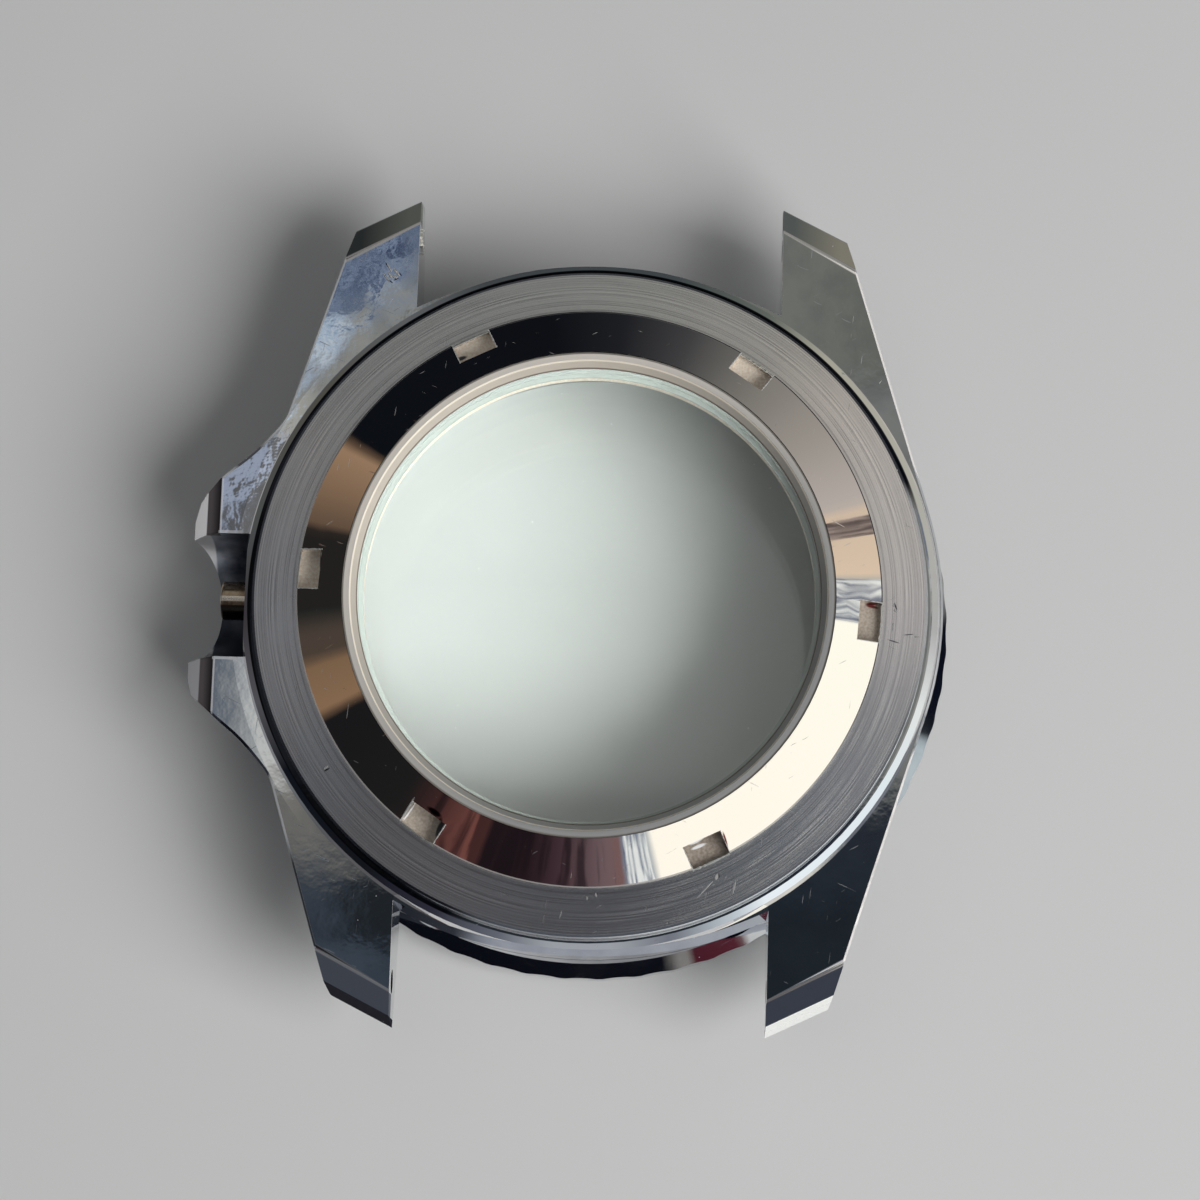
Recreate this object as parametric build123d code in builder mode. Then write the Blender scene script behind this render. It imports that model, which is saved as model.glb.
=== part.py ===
"""Empty watch case: mid-case, screw-in glass back, rotating bezel, front crystal and crown tube.

The case lies dial side down: +Z runs from the front crystal to the case back, the crown side is -X and
twelve o'clock is +Y. The origin is on the case axis, on the outer face of the front crystal.
All sizes are in millimetres.
"""
import os
from math import acos, atan2, cos, degrees, hypot, radians, sin, tan

from build123d import *

# Clearances
FIT_GAP = 0.02              # gap round a piece held in its own body
TURN_GAP = 0.1              # gap between the bezel and the neck it turns on
THREAD_GAP = 0.05           # radial gap of the case-back thread
SEAT_GAP = 0.05             # gap under a piece of another body that is screwed or pushed home
RIM_GAP = 0.25              # open groove round the rim of the case back
OVERRUN = 1.0               # how far a cut runs past the surface it opens

# Front crystal and the levels above it, counted from its outer face
CRYSTAL_THICK = 2.6
CRYSTAL_CHAMFER = 0.2
CRYSTAL_FOOT = 0.3          # flange of the gasket between the crystal and its seat
CRYSTAL_SEAT_Z = CRYSTAL_THICK + CRYSTAL_FOOT
REHAUT_HEIGHT = 1.0         # room for the chapter ring
REHAUT_SEAT_Z = CRYSTAL_SEAT_Z + REHAUT_HEIGHT
LEDGE_WALL = 0.4            # ledge that carries the dial
DIAL_SEAT_Z = REHAUT_SEAT_Z + LEDGE_WALL
STEM_HEIGHT = 2.5           # winding stem above the dial seat
CROWN_Z = DIAL_SEAT_Z + STEM_HEIGHT

# Levels of the mid-case and the case back
CASE_FACE_Z = 3.2           # face of the mid-case under the bezel
CASE_THICK = 5.5            # mid-case from that face to the wrist side of the lugs
LUG_BACK_Z = CASE_FACE_Z + CASE_THICK
COLLAR_RISE = 0.8           # collar round the case back
COLLAR_TOP_Z = LUG_BACK_Z + COLLAR_RISE
BACK_SEAT_RISE = 0.3        # floor of the recess that the case back lands on
BACK_SEAT_Z = LUG_BACK_Z + BACK_SEAT_RISE
BACK_RING_RISE = 1.7        # brushed ring over its seat, measured where it meets the step
BACK_RING_Z = BACK_SEAT_Z + BACK_RING_RISE
STEP_UP = 0.5               # step from the brushed ring to the polished cone
CONE_RISE = 0.98
BACK_RIM_Z = BACK_RING_Z + STEP_UP + CONE_RISE

# Mid-case outline
BODY_R = 19.05              # turned barrel of the mid-case
LUG_GAP = 20.0              # width between the lugs, the strap width
LUG_REACH = 3.8             # how far the inner corner of the lug tips lies past the barrel
TIP_INNER_Y = BODY_R + LUG_REACH
TIP_SLANT = 1.7             # the outer corner of the tip lies back by this
TIP_OUTER_Y = TIP_INNER_Y - TIP_SLANT
TIP_WIDTH = 3.395           # width of the lug tip, across the case
GAP_INSET = 0.35            # the gap wall lies this far inside the barrel
GAP_SAG = 2.4               # the curved gap wall falls back by this where it meets the lugs
GAP_WALL_Y = BODY_R - GAP_INSET
GAP_CORNER_Y = GAP_WALL_Y - GAP_SAG
TIP_LEAN = 0.42             # how far the end face leans in towards the wrist side
TIP_FACE = 2.9              # height of the end face
TIP_EDGE_Z = LUG_BACK_Z - TIP_FACE
FACET_INNER_RUN = 1.65      # tip facet along the inner lug face
FACET_INNER_Y = TIP_INNER_Y - FACET_INNER_RUN
FACET_OUTER_RUN = 2.29      # tip facet along the flank
FACET_OUTER_Y = TIP_OUTER_Y - FACET_OUTER_RUN
FACET_SLOPE = 20.0          # degrees the tip facet falls
FACET_BORDER = 0.15         # narrow bevel between the facet and the flat of the lug
BORDER_SLOPE = 10.0
LUG_TOP_RUN = 8.35          # length of the curve on the dial side of the lugs
LUG_TOP_START_Y = TIP_INNER_Y - LUG_TOP_RUN
LUG_BOSS_STEP = 0.1         # turned boss that the lug tops start from, inside the barrel
LUG_BOSS_R = BODY_R - LUG_BOSS_STEP
EDGE_BREAK = 0.12           # small chamfer on the lug and guard edges

# Crown guards
GUARD_START_Y = 10.3        # where the guard sweeps out of the flank
GUARD_REACH = 2.8           # widest point of the guards past the barrel
GUARD_NOSE_X = BODY_R + GUARD_REACH
GUARD_NOSE_Y = 4.4
SHOULDER_IN = 0.35          # rounded shoulder of the guard, back from its nose
SHOULDER_RUN = 0.95
GUARD_SHOULDER_X = GUARD_NOSE_X - SHOULDER_IN
GUARD_SHOULDER_Y = GUARD_NOSE_Y + SHOULDER_RUN
GUARD_SWEEP_SHARES = [(0.157, 0.242), (0.463, 0.545), (0.737, 0.768)]  # from the flank to the shoulder
GUARD_FACET_IN = 1.65       # wrist side of the guard, back from its nose to the first bevel
GUARD_BEVEL_IN = 0.8        # and to the second
GUARD_BEVEL_DROP = 0.85
GUARD_NOSE_DROP = 2.3       # level of the widest point under the wrist side
GUARD_FOOT_IN = 1.45        # the nose leans back in towards the dial side

# Crown recess and tube
RECESS_R = 3.4              # half width of the slot for the crown
RECESS_DEPTH = 0.45         # floor of the slot inside the barrel
RECESS_FLOOR_X = BODY_R - RECESS_DEPTH
TUBE_R = 1.05
TUBE_WALL = 0.3
TUBE_BORE_R = TUBE_R - TUBE_WALL
TUBE_STAND = 1.5            # tube outside the floor of the slot
TUBE_END_X = RECESS_FLOOR_X + TUBE_STAND
TUBE_GRIP = 1.65            # tube in the case wall; the stem hole goes on to the cavity
TUBE_INNER_X = RECESS_FLOOR_X - TUBE_GRIP
TUBE_LIP = 0.12             # rounded lip at the outer end of the tube

# Bezel flank and the rings under it, from the outside in
BEZEL_OVERHANG = 0.65       # bezel past the barrel
BEZEL_R = BODY_R + BEZEL_OVERHANG
BEZEL_BEVEL_IN = 0.8        # wrist-side bevel
BEZEL_BEVEL_R = BEZEL_R - BEZEL_BEVEL_IN
BEZEL_CROWN_IN = 0.5        # dial-side bevel
BEZEL_CROWN_R = BEZEL_R - BEZEL_CROWN_IN
BEZEL_LAND = 0.45           # flat rim outside the insert
INSERT_R = BEZEL_CROWN_R - BEZEL_LAND
RATCHET_LAND = 0.4          # wall outside the click ring
RATCHET_OUT_R = BEZEL_BEVEL_R - RATCHET_LAND
RATCHET_WIDTH = 1.1
RATCHET_IN_R = RATCHET_OUT_R - RATCHET_WIDTH
GASKET_LAND = 0.3           # wall between the click ring and the gasket
GASKET_WIRE_R = 0.28        # bezel gasket
GASKET_ROOM = 0.07
gasket_room_r = RATCHET_IN_R - GASKET_LAND
gasket_r = gasket_room_r - GASKET_ROOM - GASKET_WIRE_R
NECK_R = gasket_r - GASKET_WIRE_R - FIT_GAP
NECK_WALL = 0.85            # neck that carries the bezel
CRYSTAL_BORE_R = NECK_R - NECK_WALL

# Levels of the bezel and its neck
NECK_HEIGHT = 1.65
NECK_TOP_Z = CASE_FACE_Z - NECK_HEIGHT
SNAP_DEPTH = 0.5            # snap wire under the top of the neck
SNAP_Z = NECK_TOP_Z + SNAP_DEPTH
SNAP_STAND = 0.05           # middle of the snap wire outside the neck
SNAP_R = NECK_R + SNAP_STAND
SNAP_WIRE_R = 0.22
BEZEL_BACK_Z = CASE_FACE_Z - TURN_GAP
BEZEL_BEVEL_RISE = 0.6
BEZEL_WIDE_Z = BEZEL_BACK_Z - BEZEL_BEVEL_RISE
BEZEL_FLANK = 1.2           # scalloped flank
BEZEL_FLANK_Z = BEZEL_WIDE_Z - BEZEL_FLANK
BEZEL_CROWN_RISE = 0.75
BEZEL_CROWN_Z = BEZEL_FLANK_Z - BEZEL_CROWN_RISE
SCALLOPS = 60
SCALLOP_DEPTH = 0.06
LIP_REACH = 0.75            # lip of the bezel, in over the neck
LIP_R = NECK_R - LIP_REACH
LIP_WALL = 0.4
LIP_Z = NECK_TOP_Z - TURN_GAP - LIP_WALL
INSERT_FALL = 0.3           # the insert slopes down this much towards its outer edge
INSERT_WALL = 0.6
ADHESIVE_WALL = 0.08
RATCHET_DEPTH = 0.45
RATCHET_WALL = 0.18

# Pip of the bezel
PIP_CUP_R = 1.0
PIP_WALL = 0.18
PIP_FLOOR = 0.15
PIP_STAND = 0.12            # how far the cup stands over the insert
PIP_DOME = 0.08

# Bezel click, under the middle of the click ring
CLICK_ANGLE = 205.0         # degrees, anticlockwise from +X
PLUNGER_R = 0.4
PLUNGER_LENGTH = 1.0
PLUNGER_RISE = 0.3          # how far the plunger stands out of the case
CLICK_HOLE_DEPTH = 2.2
CLICK_WIRE = 0.1            # wall of the coil

# Crystal, chapter ring and cavity, from the neck in
CRYSTAL_GASKET_WALL = 0.4
CRYSTAL_R = CRYSTAL_BORE_R - CRYSTAL_GASKET_WALL
CRYSTAL_GASKET_STAND = 0.05  # the gasket ends this far over the neck
CRYSTAL_SEAT_WIDTH = 0.6
REHAUT_BORE_R = CRYSTAL_BORE_R - CRYSTAL_SEAT_WIDTH
CRYSTAL_FOOT_REACH = 0.2    # the gasket's flange reaches in past its seat
CRYSTAL_FOOT_R = REHAUT_BORE_R - CRYSTAL_FOOT_REACH
REHAUT_RIM = 0.4            # flat rim of the chapter ring under the crystal
REHAUT_OPEN_R = REHAUT_BORE_R - REHAUT_RIM
REHAUT_SEAT_WIDTH = 0.8
LEDGE_R = REHAUT_BORE_R - REHAUT_SEAT_WIDTH
REHAUT_REACH = 0.7          # the chapter ring's inner edge, in past the ledge
REHAUT_INNER_R = LEDGE_R - REHAUT_REACH
REHAUT_LAND = 0.25
DIAL_LAND = 0.55            # width of the dial's seat
CAVITY_R = LEDGE_R + DIAL_LAND

# Recess, seal and thread of the case back, from the barrel in
RECESS_WALL = 0.65          # the recess for the rim of the case back, inside the barrel
BACK_RECESS_R = BODY_R - RECESS_WALL
COLLAR_BEVEL_WIDTH = 0.35
COLLAR_BEVEL_R = BACK_RECESS_R + COLLAR_BEVEL_WIDTH
COLLAR_BEVEL_FALL = 0.25
COLLAR_BEVEL_Z = COLLAR_TOP_Z - COLLAR_BEVEL_FALL
COLLAR_FOOT_WIDTH = 0.15
COLLAR_FOOT_R = COLLAR_BEVEL_R + COLLAR_FOOT_WIDTH
SEAL_LAND = 0.65            # seat of the rim outside the seal
SEAL_WIRE_R = 0.33
SEAL_GROOVE_HALF = 0.4
SEAL_R = BACK_RECESS_R - SEAL_LAND - SEAL_GROOVE_HALF
SEAL_GROOVE_DEPTH = 0.65
SEAL_GROOVE_Z = BACK_SEAT_Z - SEAL_GROOVE_DEPTH
THREAD_LAND = 0.35          # wall between the seal and the thread
THREAD_R = SEAL_R - SEAL_GROOVE_HALF - THREAD_LAND
THREAD_DEPTH = 1.25
THREAD_START_Z = BACK_SEAT_Z - THREAD_DEPTH

# Spring-bar holes
BAR_HOLE_R = 0.65
BAR_HOLE_DEPTH = 1.8
BAR_HOLE_SETBACK = 2.35     # from the inner corner of the lug tip
BAR_HOLE_Y = TIP_INNER_Y - BAR_HOLE_SETBACK
BAR_HOLE_DROP = 1.7
BAR_HOLE_Z = LUG_BACK_Z - BAR_HOLE_DROP

# Case back, from its rim in
BACK_RIM_R = BACK_RECESS_R - RIM_GAP
BACK_EDGE_DROP = 0.75       # outer edge of the brushed ring under its inner edge
BACK_EDGE_Z = BACK_RING_Z - BACK_EDGE_DROP
BACK_CHAMFER = 0.15
BRUSHED_WIDTH = 2.5
BRUSHED_IN_R = BACK_RIM_R - BRUSHED_WIDTH
CONE_WIDTH = 2.5
CONE_IN_R = BRUSHED_IN_R - CONE_WIDTH
BOSS_WALL = 1.35            # wall of the threaded boss
BOSS_END_GAP = 0.1
NOTCHES = 6
NOTCH_ANGLE = -3.9          # degrees
NOTCH_WIDTH = 2.15
NOTCH_DEPTH_R = 1.25
NOTCH_SINK = 0.4            # floor of the notches under the brushed ring

# Back glass and its ring
GLASS_GASKET_WALL = 0.82
GLASS_R = CONE_IN_R - GLASS_GASKET_WALL
GLASS_THICK = 1.4
GLASS_FOOT = 0.14           # flange of the gasket under the glass
GLASS_GASKET_TOP = 0.08     # the gasket ends this far below the rim
GLASS_BEVEL = 0.4
GLASS_LAND = 0.23           # width of the ledge under the glass
BACK_LEDGE_R = GLASS_R - GLASS_LAND
GLASS_SEAT_DEPTH = 2.18     # ledge under the rim of the cone
BACK_LEDGE_Z = BACK_RIM_Z - GLASS_SEAT_DEPTH
BACK_LEDGE_WALL = 0.55
BACK_INNER_Z = BACK_LEDGE_Z - BACK_LEDGE_WALL

os.makedirs("parts", exist_ok=True)


# Shape of one lug, worked out for the quarter that is +X, +Y. The flank touches the barrel.
lug_half = LUG_GAP / 2
tip_outer_x = lug_half + TIP_WIDTH
tip_reach = hypot(tip_outer_x, TIP_OUTER_Y)
flank_turn = atan2(TIP_OUTER_Y, tip_outer_x) - acos(BODY_R / tip_reach)
flank_x = BODY_R * cos(flank_turn)
flank_y = BODY_R * sin(flank_turn)
flank_tan = tan(flank_turn)
facet_outer_x = flank_x - (FACET_OUTER_Y - flank_y) * flank_tan
facet_turn = degrees(atan2(FACET_OUTER_Y - FACET_INNER_Y, facet_outer_x - lug_half))
tip_turn = degrees(atan2(TIP_OUTER_Y - TIP_INNER_Y, TIP_WIDTH))
facet_reach = TIP_INNER_Y - FACET_INNER_Y + OVERRUN
border_fall = FACET_BORDER * tan(radians(BORDER_SLOPE))
facet_fall = border_fall + facet_reach * tan(radians(FACET_SLOPE))
across_length = hypot(TIP_WIDTH, FACET_INNER_Y - FACET_OUTER_Y) + 3 * OVERRUN

# Crown guard on the flank, for the side of twelve o'clock
guard_start_x = flank_x - (GUARD_START_Y - flank_y) * flank_tan
guard_out = GUARD_SHOULDER_X - guard_start_x
guard_down = GUARD_START_Y - GUARD_SHOULDER_Y
guard_points = [(-guard_start_x - u * guard_out, GUARD_START_Y - v * guard_down) for u, v in GUARD_SWEEP_SHARES]


def across_lug(turn, y):
    """Upright plane square to a line that crosses the lug at this turn: x points off the tip, y up."""
    along = Vector(cos(radians(turn)), sin(radians(turn)), 0)
    outward = Vector(-sin(radians(turn)), cos(radians(turn)), 0)
    start = Vector(lug_half, y, 0) - along * OVERRUN
    return Plane(origin=start, x_dir=outward, z_dir=along)


# Cuts that shape the four lug tips: the facet on the wrist side and the leaning end face
with BuildPart() as tip_cuts:
    with BuildSketch(across_lug(facet_turn, FACET_INNER_Y)):
        Polygon(
            (-FACET_BORDER, LUG_BACK_Z),
            (0, LUG_BACK_Z - border_fall),
            (facet_reach, LUG_BACK_Z - facet_fall),
            (facet_reach, LUG_BACK_Z + OVERRUN),
            (-FACET_BORDER, LUG_BACK_Z + OVERRUN),
            align=None,
        )
    extrude(amount=across_length)
    with BuildSketch(across_lug(tip_turn, TIP_INNER_Y)):
        Polygon(
            (0, TIP_EDGE_Z),
            (-TIP_LEAN, LUG_BACK_Z),
            (-TIP_LEAN, LUG_BACK_Z + OVERRUN),
            (OVERRUN, LUG_BACK_Z + OVERRUN),
            (OVERRUN, TIP_EDGE_Z),
            align=None,
        )
    extrude(amount=across_length)
    mirror(about=Plane.YZ)
    mirror(about=Plane.XZ)

# Cut that curves the dial side of the lugs away, outside the turned boss under the bezel
with BuildPart() as lug_top_cuts:
    with BuildSketch(Plane.YZ):
        with BuildLine():
            tip_y = TIP_INNER_Y + OVERRUN
            curve_end = (tip_y, TIP_EDGE_Z + OVERRUN / 2)
            TangentArc((LUG_TOP_START_Y, CASE_FACE_Z), curve_end, tangent=(1, 0))
            Polyline(
                curve_end,
                (tip_y, CASE_FACE_Z - OVERRUN),
                (LUG_TOP_START_Y, CASE_FACE_Z - OVERRUN),
                (LUG_TOP_START_Y, CASE_FACE_Z),
            )
        make_face()
        mirror(about=Plane.YZ)
    extrude(amount=flank_x, both=True)
    with BuildSketch(Plane.XY):
        Circle(LUG_BOSS_R)
    extrude(amount=LUG_BACK_Z, mode=Mode.SUBTRACT)

# Bevels on the nose of the two crown guards
with BuildPart() as guard_cuts:
    with BuildSketch(Plane.XZ):
        Polygon(
            (GUARD_FACET_IN - GUARD_NOSE_X, LUG_BACK_Z),
            (GUARD_BEVEL_IN - GUARD_NOSE_X, LUG_BACK_Z - GUARD_BEVEL_DROP),
            (-GUARD_NOSE_X, LUG_BACK_Z - GUARD_NOSE_DROP),
            (GUARD_FOOT_IN - GUARD_NOSE_X, CASE_FACE_Z),
            (GUARD_FOOT_IN - GUARD_NOSE_X, CASE_FACE_Z - OVERRUN),
            (-GUARD_NOSE_X - OVERRUN, CASE_FACE_Z - OVERRUN),
            (-GUARD_NOSE_X - OVERRUN, LUG_BACK_Z + OVERRUN),
            (GUARD_FACET_IN - GUARD_NOSE_X, LUG_BACK_Z + OVERRUN),
            align=None,
        )
    extrude(amount=GUARD_START_Y, both=True)

# Mid-case: barrel, four lugs, two crown guards, neck and the turned inside
with BuildPart() as mid_case:
    with BuildSketch(Plane.XY.offset(CASE_FACE_Z)):
        Circle(BODY_R)
        with BuildLine():
            Polyline(
                (0, 0),
                (flank_x, flank_y),
                (tip_outer_x, TIP_OUTER_Y),
                (lug_half, TIP_INNER_Y),
                (0, TIP_INNER_Y),
                close=True,
            )
        make_face()
        mirror(about=Plane.YZ)
        mirror(about=Plane.XZ)
        with BuildLine():
            guard_start = (-guard_start_x, GUARD_START_Y)
            Spline(guard_start, *guard_points, tangents=((-flank_tan, -1), (-1, -1)))
            Polyline(
                guard_points[-1],
                (-GUARD_SHOULDER_X, GUARD_SHOULDER_Y),
                (-GUARD_NOSE_X, GUARD_NOSE_Y),
                (-GUARD_NOSE_X, 0),
                (0, 0),
                guard_start,
            )
        make_face()
        mirror(about=Plane.XZ)
    extrude(amount=LUG_BACK_Z - CASE_FACE_Z)
    chamfer(mid_case.faces().sort_by(Axis.Z)[-1].outer_wire().edges(), EDGE_BREAK)
    collar_in_r = BACK_RECESS_R - OVERRUN
    with BuildSketch(Plane.XZ):
        Polygon(
            (collar_in_r, BACK_SEAT_Z - OVERRUN),
            (collar_in_r, COLLAR_TOP_Z),
            (BACK_RECESS_R, COLLAR_TOP_Z),
            (COLLAR_BEVEL_R, COLLAR_BEVEL_Z),
            (COLLAR_FOOT_R, LUG_BACK_Z),
            (COLLAR_FOOT_R, BACK_SEAT_Z - OVERRUN),
            align=None,
        )
    revolve(axis=Axis.Z)
    # curved wall between the lugs
    with BuildSketch(Plane.XY.offset(CASE_FACE_Z - OVERRUN)):
        with BuildLine():
            ThreePointArc((-lug_half, GAP_CORNER_Y), (0, GAP_WALL_Y), (lug_half, GAP_CORNER_Y))
            Polyline(
                (lug_half, GAP_CORNER_Y),
                (lug_half, TIP_INNER_Y + OVERRUN),
                (-lug_half, TIP_INNER_Y + OVERRUN),
                (-lug_half, GAP_CORNER_Y),
            )
        make_face()
        mirror(about=Plane.XZ)
    extrude(amount=COLLAR_TOP_Z - CASE_FACE_Z + 2 * OVERRUN, mode=Mode.SUBTRACT)
    add(lug_top_cuts.part, mode=Mode.SUBTRACT)
    add(tip_cuts.part, mode=Mode.SUBTRACT)
    add(guard_cuts.part, mode=Mode.SUBTRACT)
    # slot for the crown, round below and open towards the wrist
    with BuildSketch(Plane.YZ.offset(-RECESS_FLOOR_X)):
        with Locations((0, CROWN_Z)):
            Circle(RECESS_R)
        with Locations((0, CROWN_Z + RECESS_R)):
            Rectangle(2 * RECESS_R, 2 * RECESS_R)
    extrude(amount=RECESS_FLOOR_X - GUARD_NOSE_X - OVERRUN, mode=Mode.SUBTRACT)
    # neck for the bezel, with the groove of the snap wire
    with BuildSketch(Plane.XZ):
        Polygon(
            (CRYSTAL_BORE_R - OVERRUN, CASE_FACE_Z + OVERRUN),
            (CRYSTAL_BORE_R - OVERRUN, NECK_TOP_Z),
            (NECK_R, NECK_TOP_Z),
            (NECK_R, CASE_FACE_Z + OVERRUN),
            align=None,
        )
    revolve(axis=Axis.Z)
    with BuildSketch(Plane.XZ):
        with Locations((SNAP_R, SNAP_Z)):
            Circle(SNAP_WIRE_R + FIT_GAP)
    revolve(axis=Axis.Z, mode=Mode.SUBTRACT)
    # crystal seat, chapter ring seat, dial ledge, movement cavity, thread and recess of the back
    with BuildSketch(Plane.XZ):
        Polygon(
            (0, NECK_TOP_Z - OVERRUN),
            (CRYSTAL_BORE_R, NECK_TOP_Z - OVERRUN),
            (CRYSTAL_BORE_R, CRYSTAL_SEAT_Z),
            (REHAUT_BORE_R, CRYSTAL_SEAT_Z),
            (REHAUT_BORE_R, REHAUT_SEAT_Z),
            (LEDGE_R, REHAUT_SEAT_Z),
            (LEDGE_R, DIAL_SEAT_Z),
            (CAVITY_R, DIAL_SEAT_Z),
            (CAVITY_R, THREAD_START_Z),
            (THREAD_R, THREAD_START_Z),
            (THREAD_R, BACK_SEAT_Z),
            (BACK_RECESS_R, BACK_SEAT_Z),
            (BACK_RECESS_R, COLLAR_TOP_Z + OVERRUN),
            (0, COLLAR_TOP_Z + OVERRUN),
            align=None,
        )
    revolve(axis=Axis.Z, mode=Mode.SUBTRACT)
    # groove of the case-back seal
    with BuildSketch(Plane.XZ):
        Polygon(
            (SEAL_R - SEAL_GROOVE_HALF, SEAL_GROOVE_Z),
            (SEAL_R + SEAL_GROOVE_HALF, SEAL_GROOVE_Z),
            (SEAL_R + SEAL_GROOVE_HALF, BACK_SEAT_Z + OVERRUN),
            (SEAL_R - SEAL_GROOVE_HALF, BACK_SEAT_Z + OVERRUN),
            align=None,
        )
    revolve(axis=Axis.Z, mode=Mode.SUBTRACT)
    # bore of the crown tube
    with BuildSketch(Plane.YZ.offset(-RECESS_FLOOR_X - OVERRUN)):
        with Locations((0, CROWN_Z)):
            Circle(TUBE_R + FIT_GAP)
    extrude(amount=RECESS_FLOOR_X - TUBE_INNER_X + OVERRUN + FIT_GAP, mode=Mode.SUBTRACT)
    with BuildSketch(Plane.YZ.offset(-TUBE_INNER_X - OVERRUN)):
        with Locations((0, CROWN_Z)):
            Circle(TUBE_BORE_R)
    extrude(amount=TUBE_INNER_X - CAVITY_R + 2 * OVERRUN, mode=Mode.SUBTRACT)
    # blind holes for the spring bars, two in each lug gap
    with BuildSketch(Plane.YZ):
        with Locations((BAR_HOLE_Y, BAR_HOLE_Z), (-BAR_HOLE_Y, BAR_HOLE_Z)):
            Circle(BAR_HOLE_R)
    extrude(amount=lug_half + BAR_HOLE_DEPTH, both=True, mode=Mode.SUBTRACT)
    # blind hole for the click spring and plunger
    click_r = (RATCHET_IN_R + RATCHET_OUT_R) / 2
    click_x = click_r * cos(radians(CLICK_ANGLE))
    click_y = click_r * sin(radians(CLICK_ANGLE))
    with BuildSketch(Plane.XY.offset(CASE_FACE_Z)):
        with Locations((click_x, click_y)):
            Circle(PLUNGER_R + FIT_GAP)
    extrude(amount=CLICK_HOLE_DEPTH, mode=Mode.SUBTRACT)
mid_case.part.label = "mid_case"
export_step(mid_case.part, "parts/mid_case.step")

# Crown tube, pushed into the mid-case
with BuildPart() as crown_tube:
    with BuildSketch(Plane.YZ.offset(-TUBE_END_X)):
        with Locations((0, CROWN_Z)):
            Circle(TUBE_R)
            Circle(TUBE_BORE_R, mode=Mode.SUBTRACT)
    extrude(amount=TUBE_END_X - TUBE_INNER_X)
    fillet(crown_tube.faces().sort_by(Axis.X)[0].outer_wire().edges(), TUBE_LIP)
crown_tube.part.label = "crown_tube"
export_step(crown_tube.part, "parts/crown_tube.step")

# Front crystal, its gasket and the chapter ring under it
with BuildPart() as crystal:
    with BuildSketch(Plane.XY):
        Circle(CRYSTAL_R)
    extrude(amount=CRYSTAL_THICK)
    chamfer(crystal.edges().sort_by(Axis.Z)[0], CRYSTAL_CHAMFER)
crystal.part.label = "crystal"
export_step(crystal.part, "parts/crystal.step")

with BuildPart() as crystal_gasket:
    gasket_out_r = CRYSTAL_BORE_R - FIT_GAP
    gasket_end_z = CRYSTAL_SEAT_Z - FIT_GAP
    gasket_top_z = NECK_TOP_Z - CRYSTAL_GASKET_STAND
    with BuildSketch(Plane.XZ):
        Polygon(
            (CRYSTAL_R + FIT_GAP, gasket_top_z),
            (gasket_out_r, gasket_top_z),
            (gasket_out_r, gasket_end_z),
            (CRYSTAL_FOOT_R, gasket_end_z),
            (CRYSTAL_FOOT_R, CRYSTAL_THICK + FIT_GAP),
            (CRYSTAL_R + FIT_GAP, CRYSTAL_THICK + FIT_GAP),
            align=None,
        )
    revolve(axis=Axis.Z)
crystal_gasket.part.label = "crystal_gasket"
export_step(crystal_gasket.part, "parts/crystal_gasket.step")

with BuildPart() as chapter_ring:
    rehaut_top_z = CRYSTAL_SEAT_Z + FIT_GAP
    rehaut_end_z = REHAUT_SEAT_Z - FIT_GAP
    with BuildSketch(Plane.XZ):
        Polygon(
            (REHAUT_OPEN_R, rehaut_top_z),
            (REHAUT_BORE_R - FIT_GAP, rehaut_top_z),
            (REHAUT_BORE_R - FIT_GAP, rehaut_end_z),
            (REHAUT_INNER_R, rehaut_end_z),
            (REHAUT_INNER_R, rehaut_end_z - REHAUT_LAND),
            align=None,
        )
    revolve(axis=Axis.Z)
chapter_ring.part.label = "chapter_ring"
export_step(chapter_ring.part, "parts/chapter_ring.step")

# Bezel: a turned ring with shallow scallops round the flank
gasket_z = CASE_FACE_Z - FIT_GAP - GASKET_WIRE_R
bezel_bore_r = NECK_R + TURN_GAP
gasket_room_z = gasket_z - GASKET_WIRE_R - GASKET_ROOM
insert_slope = INSERT_FALL / (INSERT_R - LIP_R)
scallop_half = BEZEL_R * sin(radians(180 / SCALLOPS))
scallop_r = (scallop_half ** 2 + SCALLOP_DEPTH ** 2) / (2 * SCALLOP_DEPTH)

with BuildPart() as bezel_ring:
    with BuildSketch(Plane.XZ):
        Polygon(
            (LIP_R, LIP_Z),
            (INSERT_R, LIP_Z + INSERT_FALL),
            (INSERT_R, BEZEL_CROWN_Z),
            (BEZEL_CROWN_R, BEZEL_CROWN_Z),
            (BEZEL_R, BEZEL_FLANK_Z),
            (BEZEL_R, BEZEL_WIDE_Z),
            (BEZEL_BEVEL_R, BEZEL_BACK_Z),
            (RATCHET_OUT_R, BEZEL_BACK_Z),
            (RATCHET_OUT_R, BEZEL_BACK_Z - RATCHET_DEPTH),
            (RATCHET_IN_R, BEZEL_BACK_Z - RATCHET_DEPTH),
            (RATCHET_IN_R, BEZEL_BACK_Z),
            (gasket_room_r, BEZEL_BACK_Z),
            (gasket_room_r, gasket_room_z),
            (bezel_bore_r, gasket_room_z),
            (bezel_bore_r, LIP_Z + LIP_WALL),
            (LIP_R, LIP_Z + LIP_WALL),
            align=None,
        )
    revolve(axis=Axis.Z)
    with BuildSketch(Plane.XZ):
        with Locations((SNAP_R, SNAP_Z)):
            Circle(SNAP_WIRE_R + TURN_GAP)
    revolve(axis=Axis.Z, mode=Mode.SUBTRACT)
    with BuildSketch(Plane.XY):
        with PolarLocations(BEZEL_R - SCALLOP_DEPTH + scallop_r, SCALLOPS):
            Circle(scallop_r)
    extrude(amount=BEZEL_BACK_Z + OVERRUN, mode=Mode.SUBTRACT)
bezel_ring.part.label = "bezel_ring"
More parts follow.
